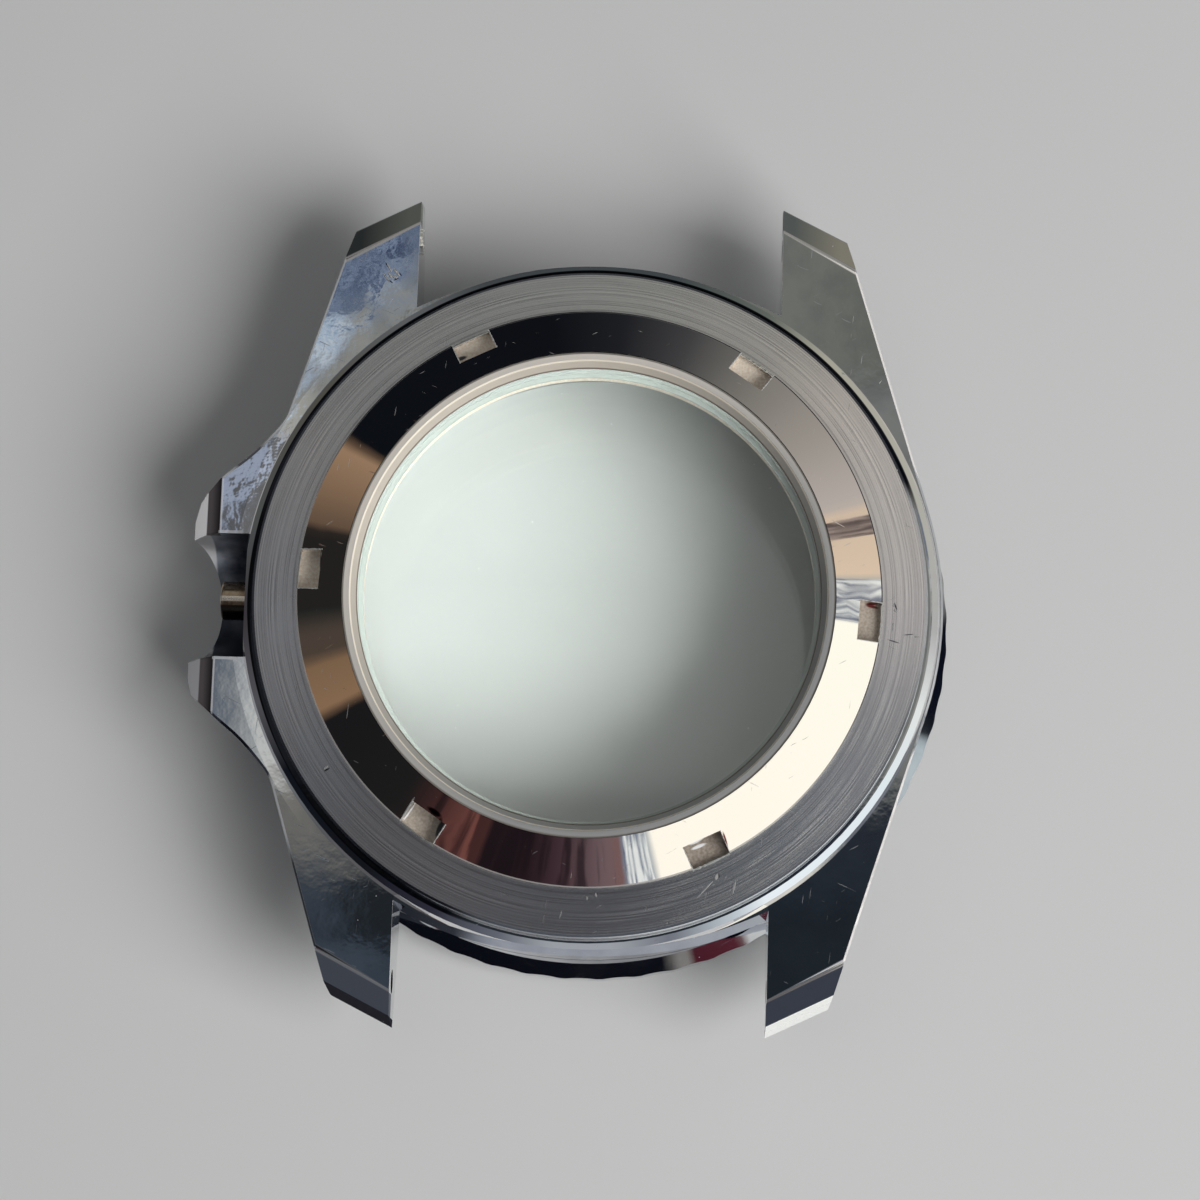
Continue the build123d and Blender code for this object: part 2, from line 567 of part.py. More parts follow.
export_step(bezel_ring.part, "parts/bezel_ring.step")

# Bezel insert on its adhesive ring, with the pip at twelve o'clock
pip_place_r = (LIP_R + INSERT_R) / 2
adhesive_z = LIP_Z - FIT_GAP
insert_z = adhesive_z - ADHESIVE_WALL - FIT_GAP
pip_top_z = insert_z - INSERT_WALL + (pip_place_r - LIP_R) * insert_slope - PIP_STAND
pip_end_z = LIP_Z + (pip_place_r - PIP_CUP_R - LIP_R) * insert_slope - FIT_GAP


def sloped_ring(outer_r, back_z, wall):
    """Section points of a ring that follows the slope of the bezel's seat, with this wall."""
    outer_z = back_z + (outer_r - LIP_R) * insert_slope
    return [(LIP_R, back_z), (outer_r, outer_z), (outer_r, outer_z - wall), (LIP_R, back_z - wall)]


with BuildPart() as insert_adhesive:
    with BuildSketch(Plane.XZ):
        Polygon(*sloped_ring(INSERT_R - FIT_GAP, adhesive_z, ADHESIVE_WALL), align=None)
    revolve(axis=Axis.Z)
    with BuildSketch(Plane.XY):
        with Locations((0, pip_place_r)):
            Circle(PIP_CUP_R + FIT_GAP)
    extrude(amount=CASE_FACE_Z, mode=Mode.SUBTRACT)
insert_adhesive.part.label = "insert_adhesive"
export_step(insert_adhesive.part, "parts/insert_adhesive.step")

with BuildPart() as bezel_insert:
    with BuildSketch(Plane.XZ):
        Polygon(*sloped_ring(INSERT_R - FIT_GAP, insert_z, INSERT_WALL), align=None)
    revolve(axis=Axis.Z)
    with BuildSketch(Plane.XY):
        with Locations((0, pip_place_r)):
            Circle(PIP_CUP_R + FIT_GAP)
    extrude(amount=CASE_FACE_Z, mode=Mode.SUBTRACT)
bezel_insert.part.label = "bezel_insert"
export_step(bezel_insert.part, "parts/bezel_insert.step")

with BuildPart() as pip_cup:
    with BuildSketch(Plane.XY.offset(pip_top_z)):
        with Locations((0, pip_place_r)):
            Circle(PIP_CUP_R)
    extrude(amount=pip_end_z - pip_top_z)
    with BuildSketch(Plane.XY.offset(pip_top_z)):
        with Locations((0, pip_place_r)):
            Circle(PIP_CUP_R - PIP_WALL)
    extrude(amount=pip_end_z - pip_top_z - PIP_FLOOR, mode=Mode.SUBTRACT)
pip_cup.part.label = "pip_cup"
export_step(pip_cup.part, "parts/pip_cup.step")

pip_r = PIP_CUP_R - PIP_WALL - FIT_GAP
with BuildPart() as bezel_pip:
    with BuildSketch(Plane.YZ):
        with BuildLine():
            pip_floor_z = pip_end_z - PIP_FLOOR - FIT_GAP
            pip_apex = (pip_place_r, pip_top_z - PIP_DOME)
            pip_rim = (pip_place_r + pip_r, pip_top_z)
            TangentArc(pip_apex, pip_rim, tangent=(1, 0))
            Polyline(pip_rim, (pip_place_r + pip_r, pip_floor_z), (pip_place_r, pip_floor_z), pip_apex)
        make_face()
    revolve(axis=Axis((0, pip_place_r, 0), (0, 0, 1)))
bezel_pip.part.label = "bezel_pip"
export_step(bezel_pip.part, "parts/bezel_pip.step")

# Ratchet ring under the bezel, the gasket and the snap wire round the neck
with BuildPart() as click_ring:
    with BuildSketch(Plane.XY.offset(BEZEL_BACK_Z - RATCHET_DEPTH + FIT_GAP)):
        Circle(RATCHET_OUT_R - FIT_GAP)
        Circle(RATCHET_IN_R + FIT_GAP, mode=Mode.SUBTRACT)
    extrude(amount=RATCHET_WALL)
click_ring.part.label = "click_ring"
export_step(click_ring.part, "parts/click_ring.step")

with BuildPart() as bezel_gasket:
    with BuildSketch(Plane.XZ):
        with Locations((gasket_r, gasket_z)):
            Circle(GASKET_WIRE_R)
    revolve(axis=Axis.Z)
bezel_gasket.part.label = "bezel_gasket"
export_step(bezel_gasket.part, "parts/bezel_gasket.step")

with BuildPart() as snap_wire:
    with BuildSketch(Plane.XZ):
        with Locations((SNAP_R, SNAP_Z)):
            Circle(SNAP_WIRE_R)
    revolve(axis=Axis.Z)
snap_wire.part.label = "snap_wire"
export_step(snap_wire.part, "parts/snap_wire.step")

# Click plunger, with a domed nose, and the coil behind it
plunger_nose_z = CASE_FACE_Z - PLUNGER_RISE
with BuildPart() as click_plunger:
    with BuildSketch(Plane.XY.offset(plunger_nose_z)):
        with Locations((click_x, click_y)):
            Circle(PLUNGER_R)
    extrude(amount=PLUNGER_LENGTH)
    fillet(click_plunger.edges().sort_by(Axis.Z)[0], PLUNGER_RISE - FIT_GAP)
click_plunger.part.label = "click_plunger"
export_step(click_plunger.part, "parts/click_plunger.step")

with BuildPart() as click_coil:
    coil_start_z = plunger_nose_z + PLUNGER_LENGTH + FIT_GAP
    coil_end_z = CASE_FACE_Z + CLICK_HOLE_DEPTH - FIT_GAP
    with BuildSketch(Plane.XY.offset(coil_start_z)):
        with Locations((click_x, click_y)):
            Circle(PLUNGER_R)
            Circle(PLUNGER_R - CLICK_WIRE, mode=Mode.SUBTRACT)
    extrude(amount=coil_end_z - coil_start_z)
click_coil.part.label = "click_coil"
export_step(click_coil.part, "parts/click_coil.step")

# Case back: threaded boss, brushed ring, polished cone and six wrench notches
boss_r = THREAD_R - THREAD_GAP
boss_in_r = boss_r - BOSS_WALL
boss_end_z = THREAD_START_Z + BOSS_END_GAP
notch_floor_z = BACK_RING_Z - NOTCH_SINK
back_under_z = BACK_SEAT_Z + SEAT_GAP
ring_edge_r = BACK_RIM_R - BACK_CHAMFER
with BuildPart() as case_back:
    with BuildSketch(Plane.XZ):
        Polygon(
            (boss_r, boss_end_z),
            (boss_r, back_under_z),
            (BACK_RIM_R, back_under_z),
            (BACK_RIM_R, BACK_EDGE_Z),
            (ring_edge_r, BACK_EDGE_Z + BACK_CHAMFER),
            (BRUSHED_IN_R, BACK_RING_Z),
            (BRUSHED_IN_R, BACK_RING_Z + STEP_UP),
            (CONE_IN_R, BACK_RIM_Z),
            (CONE_IN_R, BACK_LEDGE_Z),
            (BACK_LEDGE_R, BACK_LEDGE_Z),
            (BACK_LEDGE_R, BACK_INNER_Z),
            (boss_in_r, BACK_INNER_Z),
            (boss_in_r, boss_end_z),
            align=None,
        )
    revolve(axis=Axis.Z)
    notch_angles = [NOTCH_ANGLE + 360 / NOTCHES * k for k in range(NOTCHES)]
    notch_middle = BRUSHED_IN_R - NOTCH_DEPTH_R / 2
    notch_spots = [(notch_middle * cos(radians(a)), notch_middle * sin(radians(a)), a) for a in notch_angles]
    with BuildSketch(Plane.XY.offset(notch_floor_z)):
        for x, y, angle in notch_spots:
            with Locations((x, y)):
                Rectangle(NOTCH_DEPTH_R, NOTCH_WIDTH, rotation=angle)
        Circle(BRUSHED_IN_R, mode=Mode.INTERSECT)
    extrude(amount=BACK_RIM_Z - notch_floor_z, mode=Mode.SUBTRACT)
case_back.part.label = "case_back"
export_step(case_back.part, "parts/case_back.step")

# Back glass in its pressed ring, and the seal under the case back
glass_in_z = BACK_LEDGE_Z + GLASS_FOOT + 2 * FIT_GAP
glass_out_z = glass_in_z + GLASS_THICK
with BuildPart() as back_glass:
    with BuildSketch(Plane.XY.offset(glass_in_z)):
        Circle(GLASS_R)
    extrude(amount=GLASS_THICK)
back_glass.part.label = "back_glass"
export_step(back_glass.part, "parts/back_glass.step")

with BuildPart() as back_glass_gasket:
    ring_in_r = GLASS_R + FIT_GAP
    ring_out_r = CONE_IN_R - FIT_GAP
    ring_top_z = BACK_RIM_Z - GLASS_GASKET_TOP
    foot_z = BACK_LEDGE_Z + FIT_GAP
    with BuildSketch(Plane.XZ):
        Polygon(
            (BACK_LEDGE_R, foot_z),
            (ring_out_r, foot_z),
            (ring_out_r, ring_top_z),
            (ring_in_r + GLASS_BEVEL, ring_top_z),
            (ring_in_r, glass_out_z),
            (ring_in_r, foot_z + GLASS_FOOT),
            (BACK_LEDGE_R, foot_z + GLASS_FOOT),
            align=None,
        )
    revolve(axis=Axis.Z)
back_glass_gasket.part.label = "back_glass_gasket"
export_step(back_glass_gasket.part, "parts/back_glass_gasket.step")

with BuildPart() as back_seal:
    with BuildSketch(Plane.XZ):
        with Locations((SEAL_R, SEAL_GROOVE_Z + FIT_GAP + SEAL_WIRE_R)):
            Circle(SEAL_WIRE_R)
    revolve(axis=Axis.Z)
back_seal.part.label = "back_seal"
export_step(back_seal.part, "parts/back_seal.step")
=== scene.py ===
# %% [markdown]
# # An empty watch case, seen from its back
#
# The case lies dial side down on a pale table. Every metal and glass piece comes from the CAD frame, so
# this lesson is about light, finish and the few details that are too fine for CAD: marks, a coil, teeth,
# a thread, dust and scratches.

import math
from functools import reduce

import bpy
import numpy as np
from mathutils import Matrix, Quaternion, Vector


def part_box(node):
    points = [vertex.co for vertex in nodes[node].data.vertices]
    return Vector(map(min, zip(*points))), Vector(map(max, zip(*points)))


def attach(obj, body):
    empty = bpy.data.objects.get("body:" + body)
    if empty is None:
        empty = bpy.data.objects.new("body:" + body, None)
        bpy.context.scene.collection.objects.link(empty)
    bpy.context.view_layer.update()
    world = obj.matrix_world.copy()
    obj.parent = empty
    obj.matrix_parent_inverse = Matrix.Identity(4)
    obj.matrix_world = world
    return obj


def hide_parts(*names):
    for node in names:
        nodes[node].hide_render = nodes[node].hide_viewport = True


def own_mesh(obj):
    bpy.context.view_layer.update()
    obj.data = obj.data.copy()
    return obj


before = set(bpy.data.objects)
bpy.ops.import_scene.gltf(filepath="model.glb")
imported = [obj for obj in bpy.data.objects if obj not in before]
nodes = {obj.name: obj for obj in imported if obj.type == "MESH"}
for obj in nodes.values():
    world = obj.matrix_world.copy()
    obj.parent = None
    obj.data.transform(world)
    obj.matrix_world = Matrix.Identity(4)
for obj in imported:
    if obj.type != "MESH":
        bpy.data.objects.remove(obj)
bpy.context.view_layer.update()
mm = 0.001

# %% [markdown]
# ## Camera
#
# The photograph was taken by hand from about 20 cm above the case, a little from the six o'clock side.
# The place and turn come from a fit of the back's circles and the lug corners. A long lens keeps the
# near and far lugs nearly equal, as they are in the photograph.

# %% Camera at the photograph's angle
scene = bpy.context.scene
scene.view_settings.view_transform = "Standard"
camera_data = bpy.data.cameras.new("camera")
camera_data.lens = 111
camera_data.sensor_width = 36
camera_data.clip_start = 0.01
camera_data.clip_end = 10
camera = bpy.data.objects.new("camera", camera_data)
scene.collection.objects.link(camera)
scene.camera = camera
turn = Vector((math.radians(10.7), math.radians(1.15), math.radians(1.64)))
camera.rotation_mode = "QUATERNION"
camera.rotation_quaternion = Quaternion(turn.normalized(), turn.length)
camera.location = (5.06 * mm, -36.78 * mm, 204.94 * mm)
print("camera", [round(v, 4) for v in camera.location])

# %% [markdown]
# ## Node helpers
#
# A procedural material is a small graph. These helpers keep the graphs short: some add a node and give
# back what it makes, some work on masks, which are values between 0 and 1, and some mix colours by masks.


# %% Single nodes
def fill(tree, socket, value):
    """Gives a socket a plain value, or joins it to the output of another node."""
    if isinstance(value, bpy.types.NodeSocket):
        tree.links.new(value, socket)
    else:
        socket.default_value = value


def add_node(tree, kind, **values):
    """A new node of this kind. Plain names set its properties, and inputs are given as {socket: value}."""
    made = tree.nodes.new(kind)
    inputs = values.pop("inputs", {})
    for name, value in values.items():
        setattr(made, name, value)
    for name, value in inputs.items():
        fill(tree, made.inputs[name], value)
    return made


def calc(tree, operation, *values, clamp=False):
    """The result of one Math node on up to three values or sockets."""
    made = add_node(tree, "ShaderNodeMath", operation=operation, use_clamp=clamp)
    for socket, value in zip(made.inputs, values):
        fill(tree, socket, value)
    return made.outputs[0]


def vector(tree, operation, *values, **named):
    """The result of one Vector Math node: a vector, or a plain value for a length or a dot product."""
    inputs = {**dict(enumerate(values)), **named}
    made = add_node(tree, "ShaderNodeVectorMath", operation=operation, inputs=inputs)
    return made.outputs["Value" if operation in ("LENGTH", "DOT_PRODUCT") else "Vector"]


def turned_by(tree, where, angle):
    """A vector turned round the case's axis by this angle."""
    inputs = {"Vector": where, "Angle": angle}
    return add_node(tree, "ShaderNodeVectorRotate", rotation_type="Z_AXIS", inputs=inputs).outputs[0]


def on_object(tree):
    """The place on the object, in metres."""
    return add_node(tree, "ShaderNodeTexCoord").outputs["Object"]


def noise(tree, where, scale, detail, roughness=0.5):
    """The value of a noise texture at this place."""
    inputs = {"Vector": where, "Scale": scale, "Detail": detail, "Roughness": roughness}
    return add_node(tree, "ShaderNodeTexNoise", inputs=inputs).outputs["Fac"]


def between(tree, value, low, high, to_low=0.0, to_high=1.0):
    """The value carried from the range low..high to the range to_low..to_high, held at both ends."""
    names = {"Value": value, "From Min": low, "From Max": high, "To Min": to_low, "To Max": to_high}
    return add_node(tree, "ShaderNodeMapRange", clamp=True, inputs=names).outputs["Result"]


print("node helpers ready")


# %% Masks
def overlap(tree, *masks):
    """Where all of these masks are: their product."""
    return reduce(lambda found, mask: calc(tree, "MULTIPLY", found, mask), masks)


def either(tree, *masks):
    """Where any of these masks is: the largest of them."""
    return reduce(lambda found, mask: calc(tree, "MAXIMUM", found, mask), masks)


def opposite(tree, mask):
    """Where this mask is not."""
    return calc(tree, "SUBTRACT", 1.0, mask)


def zone(tree, *limits):
    """The product of masks given as (value, from, to), each 0 at its first number and 1 at its second."""
    return overlap(tree, *(between(tree, *limit) for limit in limits))


def close_to(tree, value, middle, reach):
    """Where a value is less than this reach away from the middle."""
    return calc(tree, "LESS_THAN", calc(tree, "ABSOLUTE", calc(tree, "SUBTRACT", value, middle)), reach)


def add_up(tree, start, *parts):
    """The start with parts added to it, each given as (value, amount) and counted value x amount."""
    return reduce(lambda total, part: calc(tree, "MULTIPLY_ADD", *part, total), parts, start)


print("mask helpers ready")


# %% Colours
def paint(red, green, blue):
    """A colour given as it looks on the screen, 0 to 255, in the linear values that Blender works in."""
    shown = np.array([red, green, blue]) / 255
    linear = np.where(shown <= 0.04045, shown / 12.92, ((shown + 0.055) / 1.055) ** 2.4)
    return (*linear.tolist(), 1.0)


def blend(tree, share, first, second):
    """The first colour turned into the second one by this share, 0 to 1."""
    made = add_node(tree, "ShaderNodeMix", data_type="RGBA")
    for number, value in ((0, share), (6, first), (7, second)):
        fill(tree, made.inputs[number], paint(*value) if isinstance(value, tuple) else value)
    return made.outputs[2]


def shade(tree, value, low, high, first, second):
    """The first colour where the value is at low, and the second one where it is at high."""
    return blend(tree, between(tree, value, low, high), first, second)


def cover(tree, tone, *layers):
    """The tone under layers of colour, each given as (mask, colour), the last one on top."""
    for mask, colour in layers:
        tone = blend(tree, mask, tone, colour)
    return tone


def mix_shaders(tree, share, first, second):
    """The first shader turned into the second one by this share."""
    return add_node(tree, "ShaderNodeMixShader", inputs={0: share, 1: first, 2: second}).outputs[0]


print("colour helpers ready")

# %% [markdown]
# ## Room and light
#
# Polished steel has almost no colour of its own: it shows the room. The world below is a plain studio,
# drawn as rings about the point that a flat face of the case mirrors: the ceiling right overhead, which
# the lugs show, the ceiling further out, which the brushed ring shows, and the walls, which the polished
# cone shows. Low down lie the tones that the bezel and the flanks show. Two soft lamps light the table and
# the pale rings, and cast the soft shadow.

# %% The room that the steel reflects
def tone_ramp(tree, share, tones):
    """A colour ramp over a full turn, from tones given as (degrees, (red, green, blue))."""
    ramp = add_node(tree, "ShaderNodeValToRGB", inputs={"Fac": share})
    while len(ramp.color_ramp.elements) < len(tones):
        ramp.color_ramp.elements.new(0.5)
    for stop, (degrees, tone) in zip(ramp.color_ramp.elements, tones):
        stop.position = (degrees + 180) / 360
        stop.color = paint(*tone)
    return ramp.outputs["Color"]


world = bpy.data.worlds.new("studio")
scene.world = world
world.use_nodes = True
room = world.node_tree
room.nodes.clear()
direction = add_node(room, "ShaderNodeTexCoord").outputs["Generated"]
wobble = noise(room, direction, 2.4, 3.0)
wrinkle = noise(room, direction, 26.0, 4.0)
crease = noise(room, direction, 95.0, 4.0)
x, y, z = add_node(room, "ShaderNodeSeparateXYZ", inputs={"Vector": direction}).outputs
mirrored_point = (-0.024, 0.127, 0.0)
level = vector(room, "MULTIPLY", vector(room, "SUBTRACT", direction, mirrored_point), (1, 1, 0))
aside = vector(room, "LENGTH", level)
leaned = add_node(room, "ShaderNodeSeparateXYZ", inputs={"Vector": level}).outputs
round_turn = calc(room, "ARCTAN2", leaned["Y"], leaned["X"])
round_share = calc(room, "MULTIPLY_ADD", round_turn, 0.5 / math.pi, 0.5)
wavy_share = calc(room, "MULTIPLY_ADD", wobble, 0.03, calc(room, "SUBTRACT", round_share, 0.015))

wall_tones = [
    (-180, (30, 33, 32)), (-174, (72, 62, 56)), (-169, (72, 62, 54)), (-168.4, (118, 94, 72)),
    (-158, (132, 104, 80)), (-157.2, (24, 24, 26)), (-134, (27, 27, 27)), (-126, (60, 38, 37)),
    (-112.4, (116, 72, 66)), (-111.6, (38, 27, 30)), (-100, (34, 24, 28)), (-92, (66, 48, 54)),
    (-84, (106, 88, 92)), (-79.6, (116, 88, 86)), (-79.2, (116, 132, 150)), (-73.2, (126, 142, 156)),
    (-72.8, (255, 249, 236)), (-1.4, (255, 252, 238)), (-1, (166, 170, 170)), (9, (172, 170, 166)),
    (9.6, (214, 192, 168)), (23.4, (204, 184, 164)), (24, (178, 170, 164)), (45, (142, 137, 131)),
    (60, (106, 104, 100)), (72, (62, 62, 64)), (85, (30, 31, 35)), (100, (14, 16, 21)), (144.6, (12, 15, 20)),
    (145.4, (148, 120, 95)), (163.6, (94, 76, 62)), (164.6, (34, 32, 31)),
]
ceiling_tones = [
    (-180, (150, 150, 152)), (-150, (112, 115, 118)), (-135, (107, 105, 106)), (-105, (108, 109, 112)),
    (-90, (92, 93, 96)), (-75, (90, 90, 95)), (-60, (92, 98, 105)), (-45, (111, 117, 125)),
    (-30, (139, 141, 148)), (-10, (152, 153, 155)), (0, (213, 204, 202)), (15, (221, 217, 210)),
    (46, (225, 214, 200)), (54, (186, 182, 172)), (90, (163, 164, 157)), (120, (154, 153, 149)),
    (150, (151, 151, 149)), (168, (142, 142, 144)),
]
low_tones = [
    (-180, (56, 58, 66)), (-125, (42, 44, 52)), (-112, (60, 62, 70)), (-106, (176, 180, 188)),
    (-60, (190, 193, 198)), (-30, (232, 232, 228)), (10, (225, 220, 216)), (45, (208, 197, 191)),
    (80, (140, 142, 140)), (110, (84, 85, 86)), (180, (56, 58, 66)),
]
band_tones = [
    (-180, (15, 17, 25)), (-75, (15, 17, 25)), (-74, (152, 148, 142)), (-71.5, (152, 148, 142)),
    (-71, (84, 34, 46)), (-62, (98, 42, 54)), (-61, (226, 226, 222)), (-16, (214, 226, 228)),
    (-14, (16, 20, 32)), (180, (16, 20, 32)),
]
rim_tones = [
    (-180, (56, 52, 56)), (-165, (80, 80, 84)), (-152, (18, 21, 28)), (-130, (20, 22, 28)),
    (-116, (46, 46, 58)), (-104, (100, 104, 114)), (-95, (158, 162, 168)), (-84, (158, 162, 168)),
    (-74, (112, 116, 126)), (-62, (194, 204, 210)), (-56, (238, 246, 250)), (-30, (230, 240, 244)),
    (-14, (230, 234, 232)), (0, (178, 178, 176)), (28, (178, 176, 164)), (50, (168, 166, 152)),
    (62, (96, 102, 96)), (78, (64, 70, 72)), (108, (64, 68, 70)), (122, (92, 94, 96)), (140, (78, 76, 70)),
    (165, (76, 78, 78)), (180, (56, 52, 56)),
]
walls = tone_ramp(room, wavy_share, wall_tones)
streaks = shade(room, crease, 0.42, 0.58, (70, 80, 108), (240, 242, 238))
for middle, reach, amount in ((0.511, 0.0135, 0.75), (0.2885, 0.0085, 0.8)):
    near = close_to(room, wavy_share, middle, reach)
    walls = blend(room, overlap(room, near, amount), walls, streaks)
folds = overlap(room, close_to(room, wavy_share, 0.205, 0.068), between(room, wrinkle, 0.5, 0.42), 0.75)
wedge = close_to(room, wavy_share, 0.5545, 0.0055)
wedge_tone = shade(room, crease, 0.4, 0.6, (92, 80, 78), (150, 136, 128))
walls = cover(room, walls, (folds, (24, 18, 22)), (wedge, wedge_tone))
ceiling = tone_ramp(room, round_share, ceiling_tones)
print("room with", len(wall_tones), "wall tones and", len(ceiling_tones), "ceiling tones")

# %% Straight overhead: what the flat lugs and the groove show
cloudy = noise(room, direction, 260.0, 5.0, 0.72)
drift = calc(room, "SUBTRACT", cloudy, 0.5)
ragged_x = add_up(room, x, (drift, 0.003))
ragged_y = add_up(room, y, (drift, 0.016))
slant = add_up(room, x, (y, -0.8), (drift, 0.006))
steep = add_up(room, x, (y, -0.9), (drift, 0.005))
pale_blue = shade(room, cloudy, 0.42, 0.58, (162, 182, 205), (208, 218, 226))
pale_root = shade(room, y, 0.256, 0.266, (160, 159, 152), (140, 148, 158))
deep_blue = shade(room, cloudy, 0.42, 0.6, (56, 69, 97), (142, 157, 180))
guard_blue = (168, 178, 196)
upper_guard = shade(room, slant, -0.2888, -0.2874, guard_blue, (100, 100, 101))
upper_guard = shade(room, ragged_x, -0.1216, -0.1226, upper_guard, guard_blue)
lower_guard = shade(room, x, -0.126, -0.112, (110, 117, 127), (188, 190, 188))
left_tone = cover(
    room,
    pale_blue,
    (between(room, slant, -0.2975, -0.2915), pale_root),
    (between(room, slant, -0.283, -0.278), (116, 116, 110)),
    (zone(room, (steep, -0.3205, -0.3225), (y, 0.2545, 0.2575)), deep_blue),
    (between(room, y, 0.228, 0.222), upper_guard),
    (between(room, y, 0.19, 0.172), lower_guard),
)
right_tone = shade(room, x, 0.03, 0.058, (128, 129, 122), (112, 113, 107))
right_tone = shade(room, ragged_y, 0.25, 0.24, right_tone, (136, 137, 133))
left_dark = shade(room, x, -0.096, -0.083, (64, 72, 82), (37, 42, 47))
left_dark = shade(room, ragged_y, 0.093, 0.089, left_dark, (68, 77, 88))
left_dark = shade(room, ragged_y, 0.1055, 0.119, left_dark, (124, 122, 117))
right_dark = shade(room, y, 0.1, 0.122, (37, 44, 50), (47, 53, 62))
side_tone, dark_tone = (
    shade(room, x, -0.04, 0.02, *pair) for pair in ((left_tone, right_tone), (left_dark, right_dark))
)
overhead = shade(room, y, 0.131, 0.14, dark_tone, side_tone)
overhead = shade(room, y, -0.02, -0.06, overhead, (226, 226, 224))

# %% All rings together, and low down a dark band that the bevel of the bezel shows
level_band = add_up(room, z, (y, 0.126))
in_band = zone(room, (level_band, 0.272, 0.262), (level_band, 0.17, 0.18), (y, 0.3, 0.2), (x, -0.7, -0.62))
above = cover(
    room,
    overhead,
    (between(room, aside, 0.19, 0.24), ceiling),
    (between(room, aside, 0.65, 0.675), walls),
    (between(room, aside, 0.79, 0.81), (116, 120, 116)),
    (between(room, level_band, 0.42, 0.4), tone_ramp(room, round_share, rim_tones)),
    (between(room, level_band, 0.16, 0.14), tone_ramp(room, round_share, low_tones)),
    (in_band, tone_ramp(room, round_share, band_tones)),
)
seen, mirrored, soft = (
    add_node(room, "ShaderNodeBackground", inputs={"Color": colour}).outputs[0]
    for colour in (paint(226, 226, 225), above, paint(97, 98, 100))
)
path = add_node(room, "ShaderNodeLightPath").outputs
mirror_ray = either(room, path["Is Glossy Ray"], path["Is Transmission Ray"])
unseen = mix_shaders(room, mirror_ray, soft, mirrored)
both = mix_shaders(room, path["Is Camera Ray"], unseen, seen)
add_node(room, "ShaderNodeOutputWorld", inputs={"Surface": both})
print("room ready")


# %% Soft lamps
def soft_lamp(name, place, size, watts):
    """A square lamp at this place in metres that shines at the case and is not mirrored in it."""
    lamp = bpy.data.lights.new(name, "AREA")
    lamp.size = size
    lamp.energy = watts
    shown = bpy.data.objects.new(name, lamp)
    shown.location = place
    shown.rotation_euler = (-Vector(place)).to_track_quat("-Z", "Y").to_euler()
    shown.visible_glossy = False
    scene.collection.objects.link(shown)


soft_lamp("window_lamp", (0.335, -0.21, 0.38), 0.36, 3.1)
soft_lamp("fill_lamp", (-0.20, 0.16, 0.60), 0.50, 0.25)
print("two lamps")

# %% [markdown]
# ## Table
#
# A plain pale sheet under the case. It lies a hair under the front crystal, so that the two never share
# a surface.

# %% Table
table_mesh = bpy.data.meshes.new("table")
reach, sunk = 1.5, -0.02 * mm
corners = [(-reach, -reach, sunk), (reach, -reach, sunk), (reach, reach, sunk), (-reach, reach, sunk)]
table_mesh.from_pydata(corners, [], [(0, 1, 2, 3)])
table = bpy.data.objects.new("table", table_mesh)
scene.collection.objects.link(table)
table_paint = bpy.data.materials.new("pale_table")
table_paint.use_nodes = True
table_look = table_paint.node_tree.nodes["Principled BSDF"]
table_look.inputs["Base Color"].default_value = paint(208, 208, 207)
table_look.inputs["Roughness"].default_value = 0.7
table_mesh.materials.append(table_paint)
print("table", 2 * reach, "m wide")

# %% [markdown]
# ## Shared effects
#
# The finishes below share a few effects. Each is a node group with named inputs, used with other values
# in each material: lines left by turning or brushing in a lathe, scratches, dust, and soft smudges. One
# more group tells where a point lies, in mm: its radius and height, its way right and up from the middle,
# and the same two without a sign, across and along.


# %% Group builder and places on the part
def effect(name, inputs, outputs, vectors=()):
    """An empty node group with inputs {name: default} and these outputs, plain but for those in vectors."""
    group = bpy.data.node_groups.new(name, "ShaderNodeTree")
    for label, default in inputs.items():
        group.interface.new_socket(label, in_out="INPUT", socket_type="NodeSocketFloat").default_value = default
    for label in outputs:
        kind = "NodeSocketVector" if label in vectors else "NodeSocketFloat"
        group.interface.new_socket(label, in_out="OUTPUT", socket_type=kind)
    return group, add_node(group, "NodeGroupInput").outputs, add_node(group, "NodeGroupOutput").inputs


def use(tree, group, **inputs):
    """The outputs of a node group placed in this material, with underscores for spaces in input names."""
    made = add_node(tree, "ShaderNodeGroup", node_tree=group)
    for label, value in inputs.items():
        fill(tree, made.inputs[label.replace("_", " ")], value)
    return made.outputs


place, _, out = effect(
    "place_on_case", {}, ("Radius", "Height", "Around", "Across", "Along", "Right", "Up"), vectors=("Around",)
)
in_mm = vector(place, "SCALE", on_object(place), Scale=1000.0)
flat = vector(place, "MULTIPLY", in_mm, (1, 1, 0))
parts = add_node(place, "ShaderNodeSeparateXYZ", inputs={0: in_mm}).outputs
fill(place, out["Radius"], vector(place, "LENGTH", flat))
fill(place, out["Height"], parts["Z"])
fill(place, out["Around"], vector(place, "NORMALIZE", flat))
fill(place, out["Across"], calc(place, "ABSOLUTE", parts["X"]))
fill(place, out["Along"], calc(place, "ABSOLUTE", parts["Y"]))
fill(place, out["Right"], parts["X"])
fill(place, out["Up"], parts["Y"])
print("group", place.name)

# %% Lines left by the lathe
lines, given, out = effect("turned_lines", {"Lines per mm": 6.0, "Drift": 1.5}, ("Height",))
spot = use(lines, place)
across = calc(lines, "MULTIPLY", spot["Radius"], given["Lines per mm"])
climb = calc(lines, "MULTIPLY", spot["Height"], given["Lines per mm"])
cross = add_node(lines, "ShaderNodeCombineXYZ", inputs={"X": across, "Z": climb}).outputs[0]
grain = noise(lines, cross, 1.0, 3.5, 0.7)
